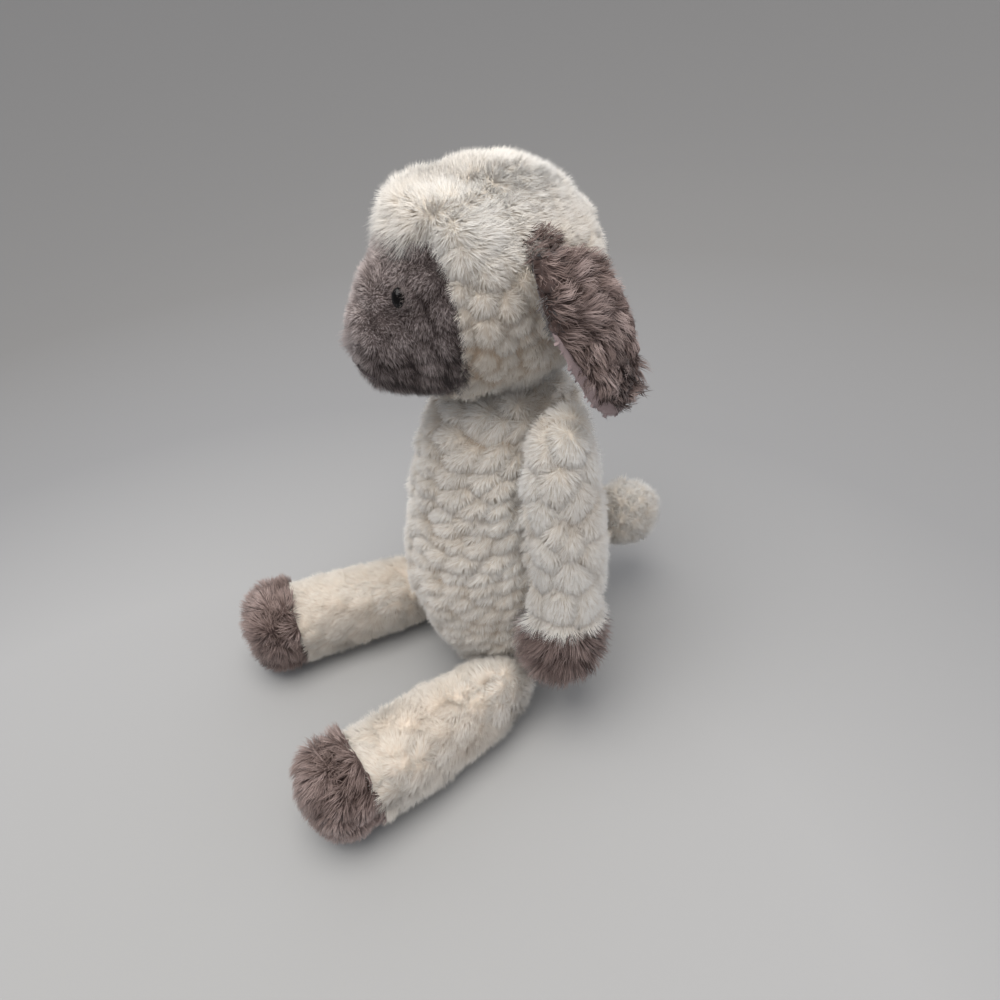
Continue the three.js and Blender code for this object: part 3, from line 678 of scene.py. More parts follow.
def fibres_on(cloth, chosen, pile, length_at, shade_at):
    """The middle lines of a patch of pile, with each fibre's way up, width and lightness."""
    rng = cloth.rng
    root, up, near = roots_on(cloth, chosen, pile.per_mm2, rng)
    length = pile.length * (1 + pile.vary * (rng.random(len(root)) * 2 - 1))
    length = length * picked_from(length_at, near)
    tip = tips_of(cloth, pile, root, up, near, length)
    line = bent(pile, root, up, tip, length, cloth.lock[near], rng)
    shade = shades_of(cloth, pile, near) + picked_from(shade_at, near)
    width = pile.width * (THINNEST + 2 * (1 - THINNEST) * rng.random(len(root)))
    kept = length > SHORTEST
    return line[kept], up[kept], width[kept], shade[kept].clip(DARKEST, LIGHTEST)


# %% Store the numbers of the finish
MAP_MARGIN = 0.02
MAP_SPREAD = 0.008


def store_numbers(mesh, shade, along):
    """Stores how light a mesh is, and how far along its fibre, at each of its points."""
    for key, values in (("shade", shade), ("along", along)):
        stored = mesh.attributes.new(key, "FLOAT", "POINT")
        stored.data.foreach_set("value", values.astype(np.float32))


def write_finish(mesh, shade, along, corners):
    """Stores the two numbers at each point, and also as a texture map of the same two numbers."""
    store_numbers(mesh, shade, along)
    place = np.stack([shade[corners], along[corners]], 1) * (1 - 2 * MAP_MARGIN) + MAP_MARGIN
    place[:, 0] += MAP_SPREAD * (np.arange(len(corners)) % 3 - 1)
    texture = mesh.uv_layers.new(name="OFBake", do_init=False)
    texture.uv.foreach_set("vector", place.astype(np.float32).ravel())


# %% Plan the faces of one spike
ROOT_SIDES = 3


def spike_plan(rings):
    """The corners of one spike's faces in a row, and how many corners each face has."""
    corners, sizes = [2, 1, 0], [ROOT_SIDES]
    for row in range(rings - 1):
        for side in range(ROOT_SIDES):
            a, b = row * ROOT_SIDES + side, row * ROOT_SIDES + (side + 1) % ROOT_SIDES
            corners += [a, b, b + ROOT_SIDES, a + ROOT_SIDES]
            sizes.append(4)
    last, tip = (rings - 1) * ROOT_SIDES, rings * ROOT_SIDES
    for side in range(ROOT_SIDES):
        corners += [last + side, last + (side + 1) % ROOT_SIDES, tip]
        sizes.append(3)
    return np.array(corners), sizes


# %% Turn the lines into spikes of mesh
SKEW = 0.3
TAPER_POWER = 1.6


def spikes(name, line, up, width, shade, soft):
    """One mesh of closed three-sided spikes along the middle lines."""
    count, rings = line.shape[0], line.shape[1] - 1
    run = unit(np.diff(line, axis=1))
    run = np.concatenate([run[:, :1], run], 1)[:, :rings]
    across = unit(np.cross(run, up[:, None] + run[..., [1, 2, 0]] * SKEW))
    other = np.cross(run, across)
    turn = np.arange(ROOT_SIDES) * 2 * np.pi / ROOT_SIDES
    out = (across[:, :, None] * np.cos(turn)[:, None] + other[:, :, None] * np.sin(turn)[:, None])
    taper = (1 - (np.arange(rings) / rings) ** TAPER_POWER) / 2
    ring = line[:, :rings, None] + out * (width[:, None, None, None] * taper[None, :, None, None])
    points = np.concatenate([ring.reshape(count, -1, 3), line[:, -1:]], 1)
    each = points.shape[1]
    plan, sizes = spike_plan(rings)
    corners = (plan[None] + np.arange(count)[:, None] * each).ravel()
    sizes = np.tile(sizes, count)
    mesh = bpy.data.meshes.new(name)
    mesh.vertices.add(count * each)
    mesh.vertices.foreach_set("co", points.astype(np.float32).ravel())
    mesh.loops.add(len(corners))
    mesh.loops.foreach_set("vertex_index", corners.astype(np.int32))
    mesh.polygons.add(len(sizes))
    starts = np.concatenate([[0], np.cumsum(sizes)[:-1]])
    mesh.polygons.foreach_set("loop_start", starts.astype(np.int32))
    mesh.update(calc_edges=True)
    mesh.polygons.foreach_set("use_smooth", np.ones(len(sizes), bool))
    normals = np.concatenate([out.reshape(count, -1, 3), up[:, None]], 1)
    normals = unit(normals * (1 - soft) + up[:, None] * soft)
    mesh.normals_split_custom_set_from_vertices(normals.reshape(-1, 3).astype(np.float32))
    along = np.append(np.repeat(np.arange(rings) / rings, ROOT_SIDES), 1.0)
    write_finish(mesh, np.repeat(shade, each), np.tile(along, count), corners)
    return mesh


# %% [markdown]
# ## The cloth under the pile
# A sewn panel is a knitted backing with its pile on the outside. A single sheet of faces would do
# for a picture, but it has no inside. So a panel is a thin closed shell: its outside carries the
# pile, its inside faces the stuffing, and a rim joins the two at a seam.

# %% Close a patch of cloth into a shell
CLOTH_THICKNESS = 1.2 * MM
RIM_ROUNDS = 8
CLOTH_SHADE = 0.30
CLOTH_CREST_SHADE = 0.25
CLOTH_ALONG = 0.12


def shell(name, cloth, chosen, shade_at):
    """A closed shell over the chosen faces, with its rim where the patch ends."""
    faces = cloth.form.faces[chosen]
    used, index = np.unique(faces, return_inverse=True)
    faces = index.reshape(faces.shape)
    outside = cloth.points[used]
    inside = outside - cloth.normals[used] * CLOTH_THICKNESS
    count = len(used)
    sides = np.concatenate([faces[:, [i, (i + 1) % 4]] for i in range(4)])
    key = sides.min(1).astype(np.int64) * count + sides.max(1)
    _, first, times = np.unique(key, return_index=True, return_counts=True)
    rim = sides[first[times == 1]]
    border = np.unique(rim)
    outside[border] = relaxed(outside, rim, RIM_ROUNDS)[border]
    inside[border] = relaxed(inside, rim, RIM_ROUNDS)[border]
    rim_faces = np.stack([rim[:, 1], rim[:, 0], rim[:, 0] + count, rim[:, 1] + count], 1)
    every = np.concatenate([faces, faces[:, ::-1] + count, rim_faces])
    mesh = mesh_from(name, np.vstack([outside, inside]), every)
    # Painted shade: the cloth under the pile is painted darker than the fibres' middle tone, and
    # darker still where its crest is low, in the hollows between cobbles.
    shade = CLOTH_SHADE + CLOTH_CREST_SHADE * cloth.crest[used] + picked_from(shade_at, used)
    store_numbers(mesh, np.tile(shade.clip(DARKEST, LIGHTEST), 2), np.full(2 * count, CLOTH_ALONG))
    return mesh


# %% [markdown]
# ## Plush finishes
# Real pile is paler and cooler at its tips, because less light gets down to its roots. A colour
# picture would fix that to one place, so each kind of plush takes its colour from the two numbers
# of a fibre instead: dark and warm at the root, paler at the tip, and a little different from
# cobble to cobble.

# %% Build a plush material
PLUSH_ROUGHNESS = 0.9
PLUSH_SHINE = 0.15
SHEEN_ROUGHNESS = 0.5
DARKEST_STOP = 0.08
TIP_FROM = 0.8
STREAK_SCALE = 9.0
STREAK_DETAIL = 1.0


def plush(name, shade_and_pucker, roots, tips, sheen, streak=0.06):
    """Pile whose colour runs from its roots' to its tips', each from dark to light by fibre.

    The very darkest fibres take the first colour: the painted shade of deep creases and shaded
    zones, and the dark of the leg's pucker.
    """
    material, shader, link = new_material(name, PLUSH_ROUGHNESS)
    shader.inputs["Sheen Weight"].default_value = sheen
    shader.inputs["Sheen Roughness"].default_value = SHEEN_ROUGHNESS
    shader.inputs["Specular IOR Level"].default_value = PLUSH_SHINE
    shade = node_in(material, "Attribute", attribute_name="shade")
    along = node_in(material, "Attribute", attribute_name="along")
    low = ramp_node(material, [(0.0, shade_and_pucker), (DARKEST_STOP, roots[0]), (1.0, roots[1])])
    high = ramp_node(material, [(0.0, shade_and_pucker), (DARKEST_STOP, tips[0]), (0.5, tips[1]), (1.0, tips[2])])
    tipward = node_in(material, "MapRange", interpolation_type="SMOOTHSTEP")
    tipward.inputs["From Max"].default_value = TIP_FROM
    mix = node_in(material, "Mix", data_type="RGBA")
    strand = node_in(material, "CombineXYZ")
    noise = node_in(material, "TexNoise")
    noise.inputs["Scale"].default_value = STREAK_SCALE
    noise.inputs["Detail"].default_value = STREAK_DETAIL
    spot = node_in(material, "MapRange")
    spot.inputs["To Min"].default_value = 1 - streak
    spot.inputs["To Max"].default_value = 1 + streak
    tone = node_in(material, "VectorMath", operation="MULTIPLY")
    link(shade.outputs["Fac"], low.inputs["Fac"])
    link(shade.outputs["Fac"], high.inputs["Fac"])
    link(along.outputs["Fac"], tipward.inputs["Value"])
    link(tipward.outputs["Result"], mix.inputs["Factor"])
    link(low.outputs["Color"], mix.inputs["A"])
    link(high.outputs["Color"], mix.inputs["B"])
    link(shade.outputs["Fac"], strand.inputs["X"])
    link(along.outputs["Fac"], strand.inputs["Y"])
    link(strand.outputs["Vector"], noise.inputs["Vector"])
    link(noise.outputs["Fac"], spot.inputs["Value"])
    link(mix.outputs["Result"], tone.inputs[0])
    link(spot.outputs["Result"], tone.inputs[1])
    link(tone.outputs["Vector"], shader.inputs["Base Color"])
    return material


# %% Mix the plush finishes
# The first colour of each plush is its darkest painted shade, which on the legs also darkens the
# pucker.
finishes = {
    "cream_wool_plush": plush(
        "cream_wool_plush", colour(206, 180, 152), (colour(216, 200, 180), colour(244, 236, 223)),
        (colour(229, 218, 202), colour(247, 241, 231), colour(254, 252, 246)), sheen=0.2),
    "warm_wool_plush": plush(
        "warm_wool_plush", colour(164, 104, 70), (colour(229, 213, 195), colour(246, 236, 223)),
        (colour(233, 218, 201), colour(249, 241, 228), colour(254, 250, 242)), sheen=0.2),
    "taupe_long_plush": plush(
        "taupe_long_plush", colour(60, 46, 42), (colour(79, 63, 59), colour(117, 100, 95)),
        (colour(122, 104, 98), colour(160, 141, 134), colour(202, 183, 177)), sheen=0.3),
    "face_plush": plush(
        "face_plush", colour(44, 36, 35), (colour(66, 56, 54), colour(122, 110, 107)),
        (colour(90, 78, 75), colour(168, 155, 151), colour(220, 208, 204)), sheen=0.25),
    "pink_lining": plush(
        "pink_lining", colour(140, 122, 121), (colour(148, 130, 129), colour(166, 148, 147)),
        (colour(158, 140, 139), colour(174, 157, 155), colour(190, 174, 171)), sheen=0.25,
        streak=0.02),
}
print("finishes:", ", ".join(finishes))

# %% [markdown]
# ## Finishes of the hidden and hard parts
# The fillings are white fibre and woven bags of pellets, the washers are moulded, and the nose is
# thread. Their grain is far finer than their shape, so one texture drives both their colour and
# their bump. The eye is polished plastic with the faint unevenness of a moulding.

# %% Build a material with a grain
BUMP_STRENGTH = 0.6
GRAIN_RANGE = (0.3, 0.7)


def bumped(name, texture, scale, dark, light, roughness, height, strength=BUMP_STRENGTH,
           **settings):
    """A finish whose colour and bump both follow one procedural texture."""
    material, shader, link = new_material(name, roughness)
    place = node_in(material, "TexCoord")
    grain = node_in(material, texture, **settings)
    grain.inputs["Scale"].default_value = scale
    ramp = ramp_node(material, list(zip(GRAIN_RANGE, (dark, light), strict=True)))
    bump = node_in(material, "Bump")
    bump.inputs["Strength"].default_value = strength
    bump.inputs["Distance"].default_value = height
    value = grain.outputs["Distance" if texture == "TexVoronoi" else "Fac"]
    link(place.outputs["Object"], grain.inputs["Vector"])
    link(value, ramp.inputs["Fac"])
    link(value, bump.inputs["Height"])
    link(ramp.outputs["Color"], shader.inputs["Base Color"])
    link(bump.outputs["Normal"], shader.inputs["Normal"])
    return material


# %% Mix the filling, bag, eye, washer and thread finishes
EYE_SHINE = 0.25

finishes["stuffing"] = bumped(
    "stuffing", "TexNoise", 260.0, colour(225, 225, 221), colour(250, 250, 247),
    roughness=0.95, height=1.5 * MM)
finishes["bean_bag_cloth"] = bumped(
    "bean_bag_cloth", "TexVoronoi", 380.0, colour(190, 182, 166), colour(224, 217, 202),
    roughness=0.9, height=0.8 * MM)
finishes["black_button"] = bumped(
    "black_button", "TexNoise", 500.0, colour(8, 7, 7), colour(14, 12, 12),
    roughness=0.12, height=0.01 * MM, strength=0.2)
finishes["white_washer"] = bumped(
    "white_washer", "TexNoise", 400.0, colour(222, 222, 220), colour(238, 238, 236),
    roughness=0.45, height=0.05 * MM)
finishes["dark_thread"] = bumped(
    "dark_thread", "TexWave", 900.0, colour(52, 44, 45), colour(84, 73, 74),
    roughness=0.7, height=0.15 * MM, bands_direction="DIAGONAL")
polish = finishes["black_button"].node_tree.nodes["Principled BSDF"].inputs
polish["Specular IOR Level"].default_value = EYE_SHINE
for node, slot in (("left_eye", "black_button"), ("right_eye", "black_button"),
                   ("left_eye_washer", "white_washer"), ("right_eye_washer", "white_washer")):
    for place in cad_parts[node].material_slots:
        place.material = finishes[slot]
print("finishes now:", len(finishes))

# %% [markdown]
# ## Sewing the pieces on
# The real seams hold each panel to one body of the toy. Here every piece rides on its body, takes
# its finish, and stands for the plain solids that it hides. Pile is cut into several pieces where
# one would be too heavy, in bands by height, because a cut between fibres can't be seen.

# %% Add cloth and pile as pieces
FACES_PER_PIECE = 190000
ROOT_FACES = 4
STEP_FACES = 6
pieces_made = []


def settle(thing, rides_on, replaces=()):
    """Ties a piece to its body, hides the solids that it stands for, and counts it among the pieces
    made.
    """
    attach(thing, rides_on)
    if replaces:
        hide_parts(*replaces)
    pieces_made.append(thing.name)


def grow(name, cloth, chosen, rides_on, slot, pile, length_at=1.0, shade_at=0.0):
    """Adds the pile of one patch of cloth, in as many pieces as it takes.

    length_at and shade_at change its length and lightness, everywhere or by point of the cloth.
    """
    line, up, width, shade = fibres_on(cloth, chosen, pile, length_at, shade_at)
    triangles = len(line) * (ROOT_FACES + STEP_FACES * (pile.steps - 1))
    parts = math.ceil(triangles / FACES_PER_PIECE)
    order = np.argsort(line[:, 0, 2], kind="stable")
    for part, share in enumerate(np.array_split(order, parts)):
        label = f"{name}_pile_{part + 1}" if parts > 1 else f"{name}_pile"
        mesh = spikes(label, line[share], up[share], width[share], shade[share], pile.soft)
        thing = add_object(label, mesh)
        mesh.materials.append(finishes[slot])
        settle(thing, rides_on)
    print(name, "fibres:", len(line), "triangles:", triangles)


def dress(name, cloth, chosen, rides_on, slot, pile, replaces, length_at=1.0,
          shade_at=0.0):
    """Adds one panel: its shell of cloth, and then its pile."""
    base = add_object(name, shell(name, cloth, chosen, shade_at))
    base.data.materials.append(finishes[slot])
    settle(base, rides_on, replaces)
    grow(name, cloth, chosen, rides_on, slot, pile, length_at, shade_at)


def everywhere(form):
    return np.ones(len(form.faces), bool)


# %% [markdown]
# ## The body's pile
# The body's wool is short and lies down its cobbles like shingles. It is left longer under the
# seat and around the neck, where it hides the seam to the head.

# %% Dress the body
SEAT_FRINGE = (30 * MM, 15 * MM)
COLLAR = (153 * MM, 6 * MM)

low_down = fall(body.points[:, 2], *SEAT_FRINGE)
collar = rise(body.points[:, 2], *COLLAR)
wool = Pile(per_mm2=4.4, length=4.3 * MM, width=0.34 * MM, nap=1.05, fan=0.25, whim=0.18,
            mess=0.3, gather=0.3, crease_shade=0.8)
dress("body", body_cloth, everywhere(body), "torso", "cream_wool_plush", wool,
      replaces=("body_skin",), length_at=1 + 0.4 * low_down + 0.7 * collar,
      shade_at=0.06)

# %% [markdown]
# ## The head
# The cap of wool is longer and more tousled on the crown than on the cheeks. Where it meets the
# face it puffs out in a roll and hangs over the seam. Longer pile alone would stick out there like
# a brush, so the cloth itself rises and the nap turns to the face.

# %% Find the zones of the head
# A zone is given as where it starts or ends, and over what width it fades.
CROWN = (218 * MM, 16 * MM)
CHEEK_TOP = (205 * MM, 16 * MM)
CHEEK_BACK = (5 * MM, 20 * MM)
CHIN = (176 * MM, 8 * MM)
CROWN_BACK = (20 * MM, 25 * MM)
NAPE_FRONT = (2 * MM, 14 * MM)
NAPE_TOP = (192 * MM, 14 * MM)
ROLL_WIDTH = 7 * MM
ROLL_FADE = 18 * MM
FRINGE_WIDTH = 8 * MM
FRINGE_HALF = 14 * MM

head = Form(["head_wool", "face_panel", "head_stuffing", "neck_stuffing"],
            grid=1.5 * MM, rounds=20)
head_x, head_y, head_z = head.points.T
on_face = nearer(head, ["face_panel"], ["head_wool"])
face_gap, face_way = head.to_nodes(["face_panel"])
near_face = close_to(face_gap, ROLL_WIDTH * 2)
high = rise(head_z, *CROWN)
roll = np.sqrt(1 - np.clip(1 - face_gap / ROLL_WIDTH, 0, 1) ** 2)
roll *= close_to(face_gap - ROLL_WIDTH, ROLL_FADE)
fringe = close_to(face_gap, FRINGE_WIDTH) * high
fringe *= smoothstep(1.6 - np.abs(head_x) / FRINGE_HALF)
# Where shade is painted on the cheeks, under the roll of the cap.
cheek_shade = (1 - rise(head_z, *CHEEK_TOP)) * (1 - rise(head_y, *CHEEK_BACK))
under_chin = fall(head_z, *CHIN)
crown_back = high * rise(head_y, *CROWN_BACK)
nape = rise(head_y, *NAPE_FRONT) * fall(head_z, *NAPE_TOP)
print("head points:", len(head.points), "on the crown:", int(high.sum()))

# %% Dress the head
ROLL_LIFT = 4.5 * MM
CROWN_SINK = 1.6 * MM
CHEEK_LIFT = 1.5 * MM
BACK_SINK = 1.5 * MM
NAPE_LIFT = 2.5 * MM
NAP_ROUNDS = 30

cap_nap = all_along(head, 0, 0.35, -0.9) * (1 - near_face)[:, None]
cap_nap += near_face[:, None] * unit(face_way + all_along(head, 0, 0, -1) * 1.5 * MM)
cap_nap += all_along(head, 0, -0.9, -1.2) * fringe[:, None]
cap_nap = unit(relaxed(cap_nap, head.edges, NAP_ROUNDS))
cap_lift = (ROLL_LIFT * roll - CROWN_SINK) * high + CHEEK_LIFT * roll * (1 - high)
cap_lift = cap_lift - BACK_SINK * crown_back + NAPE_LIFT * nape
head_cloth = Cloth(head, cap_nap, depth=2.4 * MM, cobble=9.5 * MM, relief=(3.6 - 1.8 * high) * MM,
                   lock=2.4 * MM, seed=12, lift=cap_lift, wander=0.6)
crown = Pile(per_mm2=5.2, length=4.7 * MM, width=0.32 * MM, nap=0.85, whim=0.15, mess=0.42,
             gather=0.3, soft=0.9, speckle=0.2, crease_shade=0.6)
# Painted light: the crown's top is painted lighter, and its grooves most. Painted shade: the cheeks
# under the overhanging roll are painted darker.
dress("head_cap", head_cloth, ~on_face, "head", "cream_wool_plush", crown,
      replaces=("head_wool",),
      length_at=0.76 + 0.34 * high + 1.0 * fringe + 0.6 * under_chin + 0.4 * nape,
      shade_at=(0.18 + 0.4 * (1 - head_cloth.crest)) * high - 0.22 * cheek_shade)

# %% [markdown]
# ## The face
# The face is short dense pile that streams back and down from the nose. A maker clips the pile
# away under the eyes, so that they sit in it like buttons, and leaves a longer tuft on the nose.
# Moving the eyes outwards would do as well, but they belong to the fixed model, so here too the
# pile gives way.

# %% Find the zones of the face
EYE_PILE = 7 * MM
NOSE_TUFT = np.array([0.0, -48.5, 199.0]) * MM
NOSE_REACH = 11 * MM
MUZZLE = (203 * MM, 25 * MM)
BRIDGE_HALF = 9 * MM
BRIDGE_FOOT = (206 * MM, 8 * MM)
SNOUT = (-36 * MM, 8 * MM)
CHEEK_FRONT = (-34 * MM, 18 * MM)

lower = fall(head_z, *MUZZLE)
to_nose = close_to(np.linalg.norm(head.points - NOSE_TUFT, axis=1), NOSE_REACH)
to_cheek = rise(head_y, *CHEEK_FRONT)
eye_gap, eye_way = head.to_nodes(["left_eye", "right_eye"])
inner = eye_way[:, 0] * np.sign(head_x) > 0
by_eye = close_to(eye_gap, EYE_PILE) * (0.3 + 0.7 * (inner | (eye_way[:, 1] > 0)))
bridge = smoothstep(1.5 - np.abs(head_x) / BRIDGE_HALF) * rise(head_z, *BRIDGE_FOOT)
snout = fall(head_y, *SNOUT)
print("face faces:", int(on_face.sum()), "nearest to an eye, mm:", round(eye_gap.min() / MM, 3))

# %% Dress the face
EYE_CLEARING = 0.1 * MM
BRIDGE_LIFT = 1.2 * MM
SNOUT_SINK = 1.0 * MM
CHIN_SINK = 1.2 * MM

face_nap = all_along(head, 0, 0.75, -0.55) * (1 - to_nose)[:, None]
face_nap += all_along(head, 0, -1, 0.2) * to_nose[:, None]
face_nap = unit(face_nap) + 1.5 * unit(eye_way) * by_eye[:, None]
face_lift = (BRIDGE_LIFT * (1 - snout) - SNOUT_SINK * snout) * bridge - CHIN_SINK * lower
face_cloth = Cloth(head, unit(face_nap), depth=1.7 * MM, cobble=8 * MM, relief=0.9 * MM,
                   lock=1.7 * MM, seed=13, lift=face_lift)
short = Pile(per_mm2=5.4, length=2.9 * MM, width=0.29 * MM, nap=0.9, whim=0.12, mess=0.4,
             gather=0.4, soft=0.4, speckle=0.6, streaks=0.3, crease_shade=0.6)
face_length = 0.85 + 0.8 * lower + 1.3 * to_nose + 1.1 * by_eye + 0.4 * bridge * (1 - snout)
# shade_at paints the lower face darker, as painted shade on the part that faces down. It also makes
# the face darker towards the cheek and lighter at the nose.
dress("face", face_cloth, on_face, "head", "face_plush", short,
      replaces=("face_panel",), length_at=(eye_gap > EYE_CLEARING) * face_length,
      shade_at=0.12 + 0.3 * to_nose - 0.5 * lower - 0.15 * to_cheek)

# %% [markdown]
# ## The arms
# An arm is a hanging tube with a dark paw. Its wool flows down, and its last tufts hang over the
# paw's seam. The paw has long pile that the mill has left in loose swirls. The two sides mirror
# each other in form, but each has its own seed, because no two pieces of plush are alike.

# %% Dress the sleeves
HEM = 9 * MM
ARM_SHIFT = 1.2 * MM


def dress_sleeve(side, arm, on_paw, seed):
    cloth = Cloth(arm, all_along(arm, 0, -0.15, -1), depth=1.6 * MM, cobble=13 * MM,
                  relief=3.4 * MM, lock=2.4 * MM, seed=seed, lift=ARM_SHIFT * arm.normals[:, 1])
    flowing = Pile(per_mm2=4.4, length=4.6 * MM, width=0.34 * MM, nap=1.05, fan=0.18, whim=0.15,
                   mess=0.3, gather=0.3, crease_shade=0.6)
    hem = close_to(arm.to_nodes([f"{side}_paw"])[0], HEM)
    dress(f"{side}_sleeve", cloth, ~on_paw, f"{side}_arm", "cream_wool_plush", flowing,
          replaces=(f"{side}_arm_skin",),
          length_at=1 + 0.9 * hem * (0.4 + 0.6 * cloth.shade), shade_at=0.16 + 0.1 * hem)


# %% Dress the paws
PAW_PUFF = 1.5 * MM


def dress_paw(side, arm, on_paw, seed):
    ahead = smoothstep(0.5 - 0.8 * arm.normals[:, 1])[:, None]
    sweep = all_along(arm, 0, -1.1, -0.7) * ahead + all_along(arm, 0, -0.2, -1) * (1 - ahead)
    cloth = Cloth(arm, unit(sweep), depth=2.6 * MM, cobble=12 * MM, relief=3.8 * MM,
                  lock=2.6 * MM, seed=seed, lift=PAW_PUFF * ahead[:, 0], wander=0.5)
    strands = Pile(per_mm2=2.6, length=10.5 * MM, width=0.38 * MM, nap=1.1, fan=0.35, whim=0.25,
                   mess=0.25, gather=0.5, steps=3, wave=0.06, streaks=0.35, crease_shade=0.7)
    dress(f"{side}_paw_cover", cloth, on_paw, f"{side}_arm", "taupe_long_plush", strands,
          replaces=(f"{side}_paw",), shade_at=-0.2)


# %% [markdown]
# ## The legs
# A leg lies on the floor with its dark foot ahead. A stitch through it pulls a small pucker into
# the upper side. Cutting a hole would be wrong, because the cloth is only drawn in, so the cloth
# sinks there and its pile gets short and dark.

# %% Dress the wool of the legs
PUCKER = np.array([51.4, -38.6, 41.0]) * MM
PUCKER_REACH = 8 * MM
PUCKER_SINK = 5 * MM


def dress_shin(side, sign, leg, on_foot, outer_low, seed):
    pucker = close_to(np.linalg.norm(leg.points - PUCKER * (sign, 1, 1), axis=1), PUCKER_REACH)
    cloth = Cloth(leg, all_along(leg, 0.12 * sign, -1, -0.35), depth=2.2 * MM, cobble=10 * MM,
                  relief=1.6 * MM, lock=2.6 * MM, seed=seed, lift=-PUCKER_SINK * pucker,
                  wander=0.8)
    smooth = Pile(per_mm2=4.3, length=5.2 * MM, width=0.34 * MM, nap=1.0, fan=0.15, whim=0.3,
                  mess=0.3, gather=0.4, soft=0.8, speckle=0.2, crease_shade=0.2)
    dress(f"{side}_leg_cover", cloth, ~on_foot, f"{side}_leg", "warm_wool_plush", smooth,
          replaces=(f"{side}_leg_skin",),
          length_at=1 - 0.8 * pucker + 0.15 * outer_low, shade_at=0.1 - 1.5 * pucker)


# %% Dress the feet
FOOT_UPPER = (20 * MM, 15 * MM)
PAST_SEAM = (0, 8 * MM)
INSTEP_LIFT = 2.0 * MM
SOLE_SINK = 1.5 * MM
SEAM_LIFT = 1.2 * MM


def dress_foot(side, sign, leg, on_foot, outer_low, seed):
    upward = rise(leg.points[:, 2], *FOOT_UPPER)
    past_seam = rise(leg.to_nodes([f"{side}_leg_skin"])[0], *PAST_SEAM)
    lift = INSTEP_LIFT * upward - SOLE_SINK * outer_low * past_seam + SEAM_LIFT * (1 - past_seam)
    cloth = Cloth(leg, all_along(leg, 0.6 * sign, -0.8, -0.45), depth=3.0 * MM, cobble=13 * MM,
                  relief=3.4 * MM, lock=2.8 * MM, seed=seed, wander=0.6, lift=lift)
    swirled = Pile(per_mm2=2.8, length=7.5 * MM, width=0.36 * MM, nap=1.2, fan=0.15, whim=0.3,
                   mess=0.22, gather=0.5, steps=3, wave=0.07, streaks=0.3, crease_shade=0.6)
    dress(f"{side}_foot_cover", cloth, on_foot, f"{side}_leg", "taupe_long_plush", swirled,
          replaces=(f"{side}_foot",), length_at=1 - 0.4 * outer_low, shade_at=-0.1)


# %% Dress both arms and both legs
SIDES = (("left", 1), ("right", -1))


def dress_arm(side, seed):
    arm = Form([f"{side}_arm_skin", f"{side}_paw", f"{side}_arm_stuffing"],
               grid=1.5 * MM, rounds=18)
    on_paw = nearer(arm, [f"{side}_paw"], [f"{side}_arm_skin"])
    dress_sleeve(side, arm, on_paw, seed)
    dress_paw(side, arm, on_paw, seed + 1)


def dress_leg(side, sign, seed):
    leg = Form([f"{side}_leg_skin", f"{side}_foot", f"{side}_leg_stuffing",
                f"{side}_foot_bean_bag"], grid=1.5 * MM, rounds=18)
    on_foot = nearer(leg, [f"{side}_foot"], [f"{side}_leg_skin"])
    outer_low = smoothstep((leg.normals * (sign, 0, -0.6)).sum(1) * 1.3)
    dress_shin(side, sign, leg, on_foot, outer_low, seed)
    dress_foot(side, sign, leg, on_foot, outer_low, seed + 1)


for number, (side, sign) in enumerate(SIDES):
    dress_arm(side, seed=20 + 2 * number)
    dress_leg(side, sign, seed=30 + 2 * number)

# %% [markdown]
# ## The ears
# An ear is a flat tongue of long wavy pile with a smooth lining. The lining is cut wider than the
# pile at the front edge and is turned out over it, so a pale strip shows from the side, and it
# gets wider towards the tip. The strip could be a piece of its own, but then it would need a seam
# that the toy doesn't have, so the lining's faces simply reach round the edge.

# %% Measure from an ear's front edge
EAR_LONG = np.array([0.333, 0.197, -0.924])
EAR_ACROSS = np.array([-0.07, 0.98, 0.18])
EAR_ROOT = np.array([41, 20, 227]) * MM
EAR_LENGTH = 66 * MM
STRIP_PLACES = (0.0, 0.3, 0.38, 0.7, 1.0)
STRIP_WIDTHS = (-4.0 * MM, -4.0 * MM, 1.8 * MM, 4.5 * MM, 8.0 * MM)
EAR_BINS = 24


def from_front_edge(points, sign):
    """How far points lie behind an ear's front edge, and how wide its lining shows there."""
    off = points * (sign, 1, 1) - EAR_ROOT
    along = (off @ EAR_LONG / EAR_LENGTH).clip(0, 0.999)
    across = off @ EAR_ACROSS
    bins = (along * EAR_BINS).astype(int)
    edge = np.array([across[bins == number].min() if (bins == number).any() else 0.0
                     for number in range(EAR_BINS)])
    edge[1:-1] = (edge[:-2] + edge[1:-1] + edge[2:]) / 3
    places = (np.arange(EAR_BINS) + 0.5) / EAR_BINS
    width = np.interp(along, STRIP_PLACES, STRIP_WIDTHS)
    return across - np.interp(along, places, edge), width


# %% Dress the backs of the ears
EAR_FALL = (224 * MM, 50 * MM)
EAR_BACK = (24 * MM, 12 * MM)
EAR_TIP = (176 * MM, 8 * MM)
BESIDE_STRIP = 7 * MM
STRIP_LIFT = 1.0 * MM
STRIP_SHADOW = 3 * MM


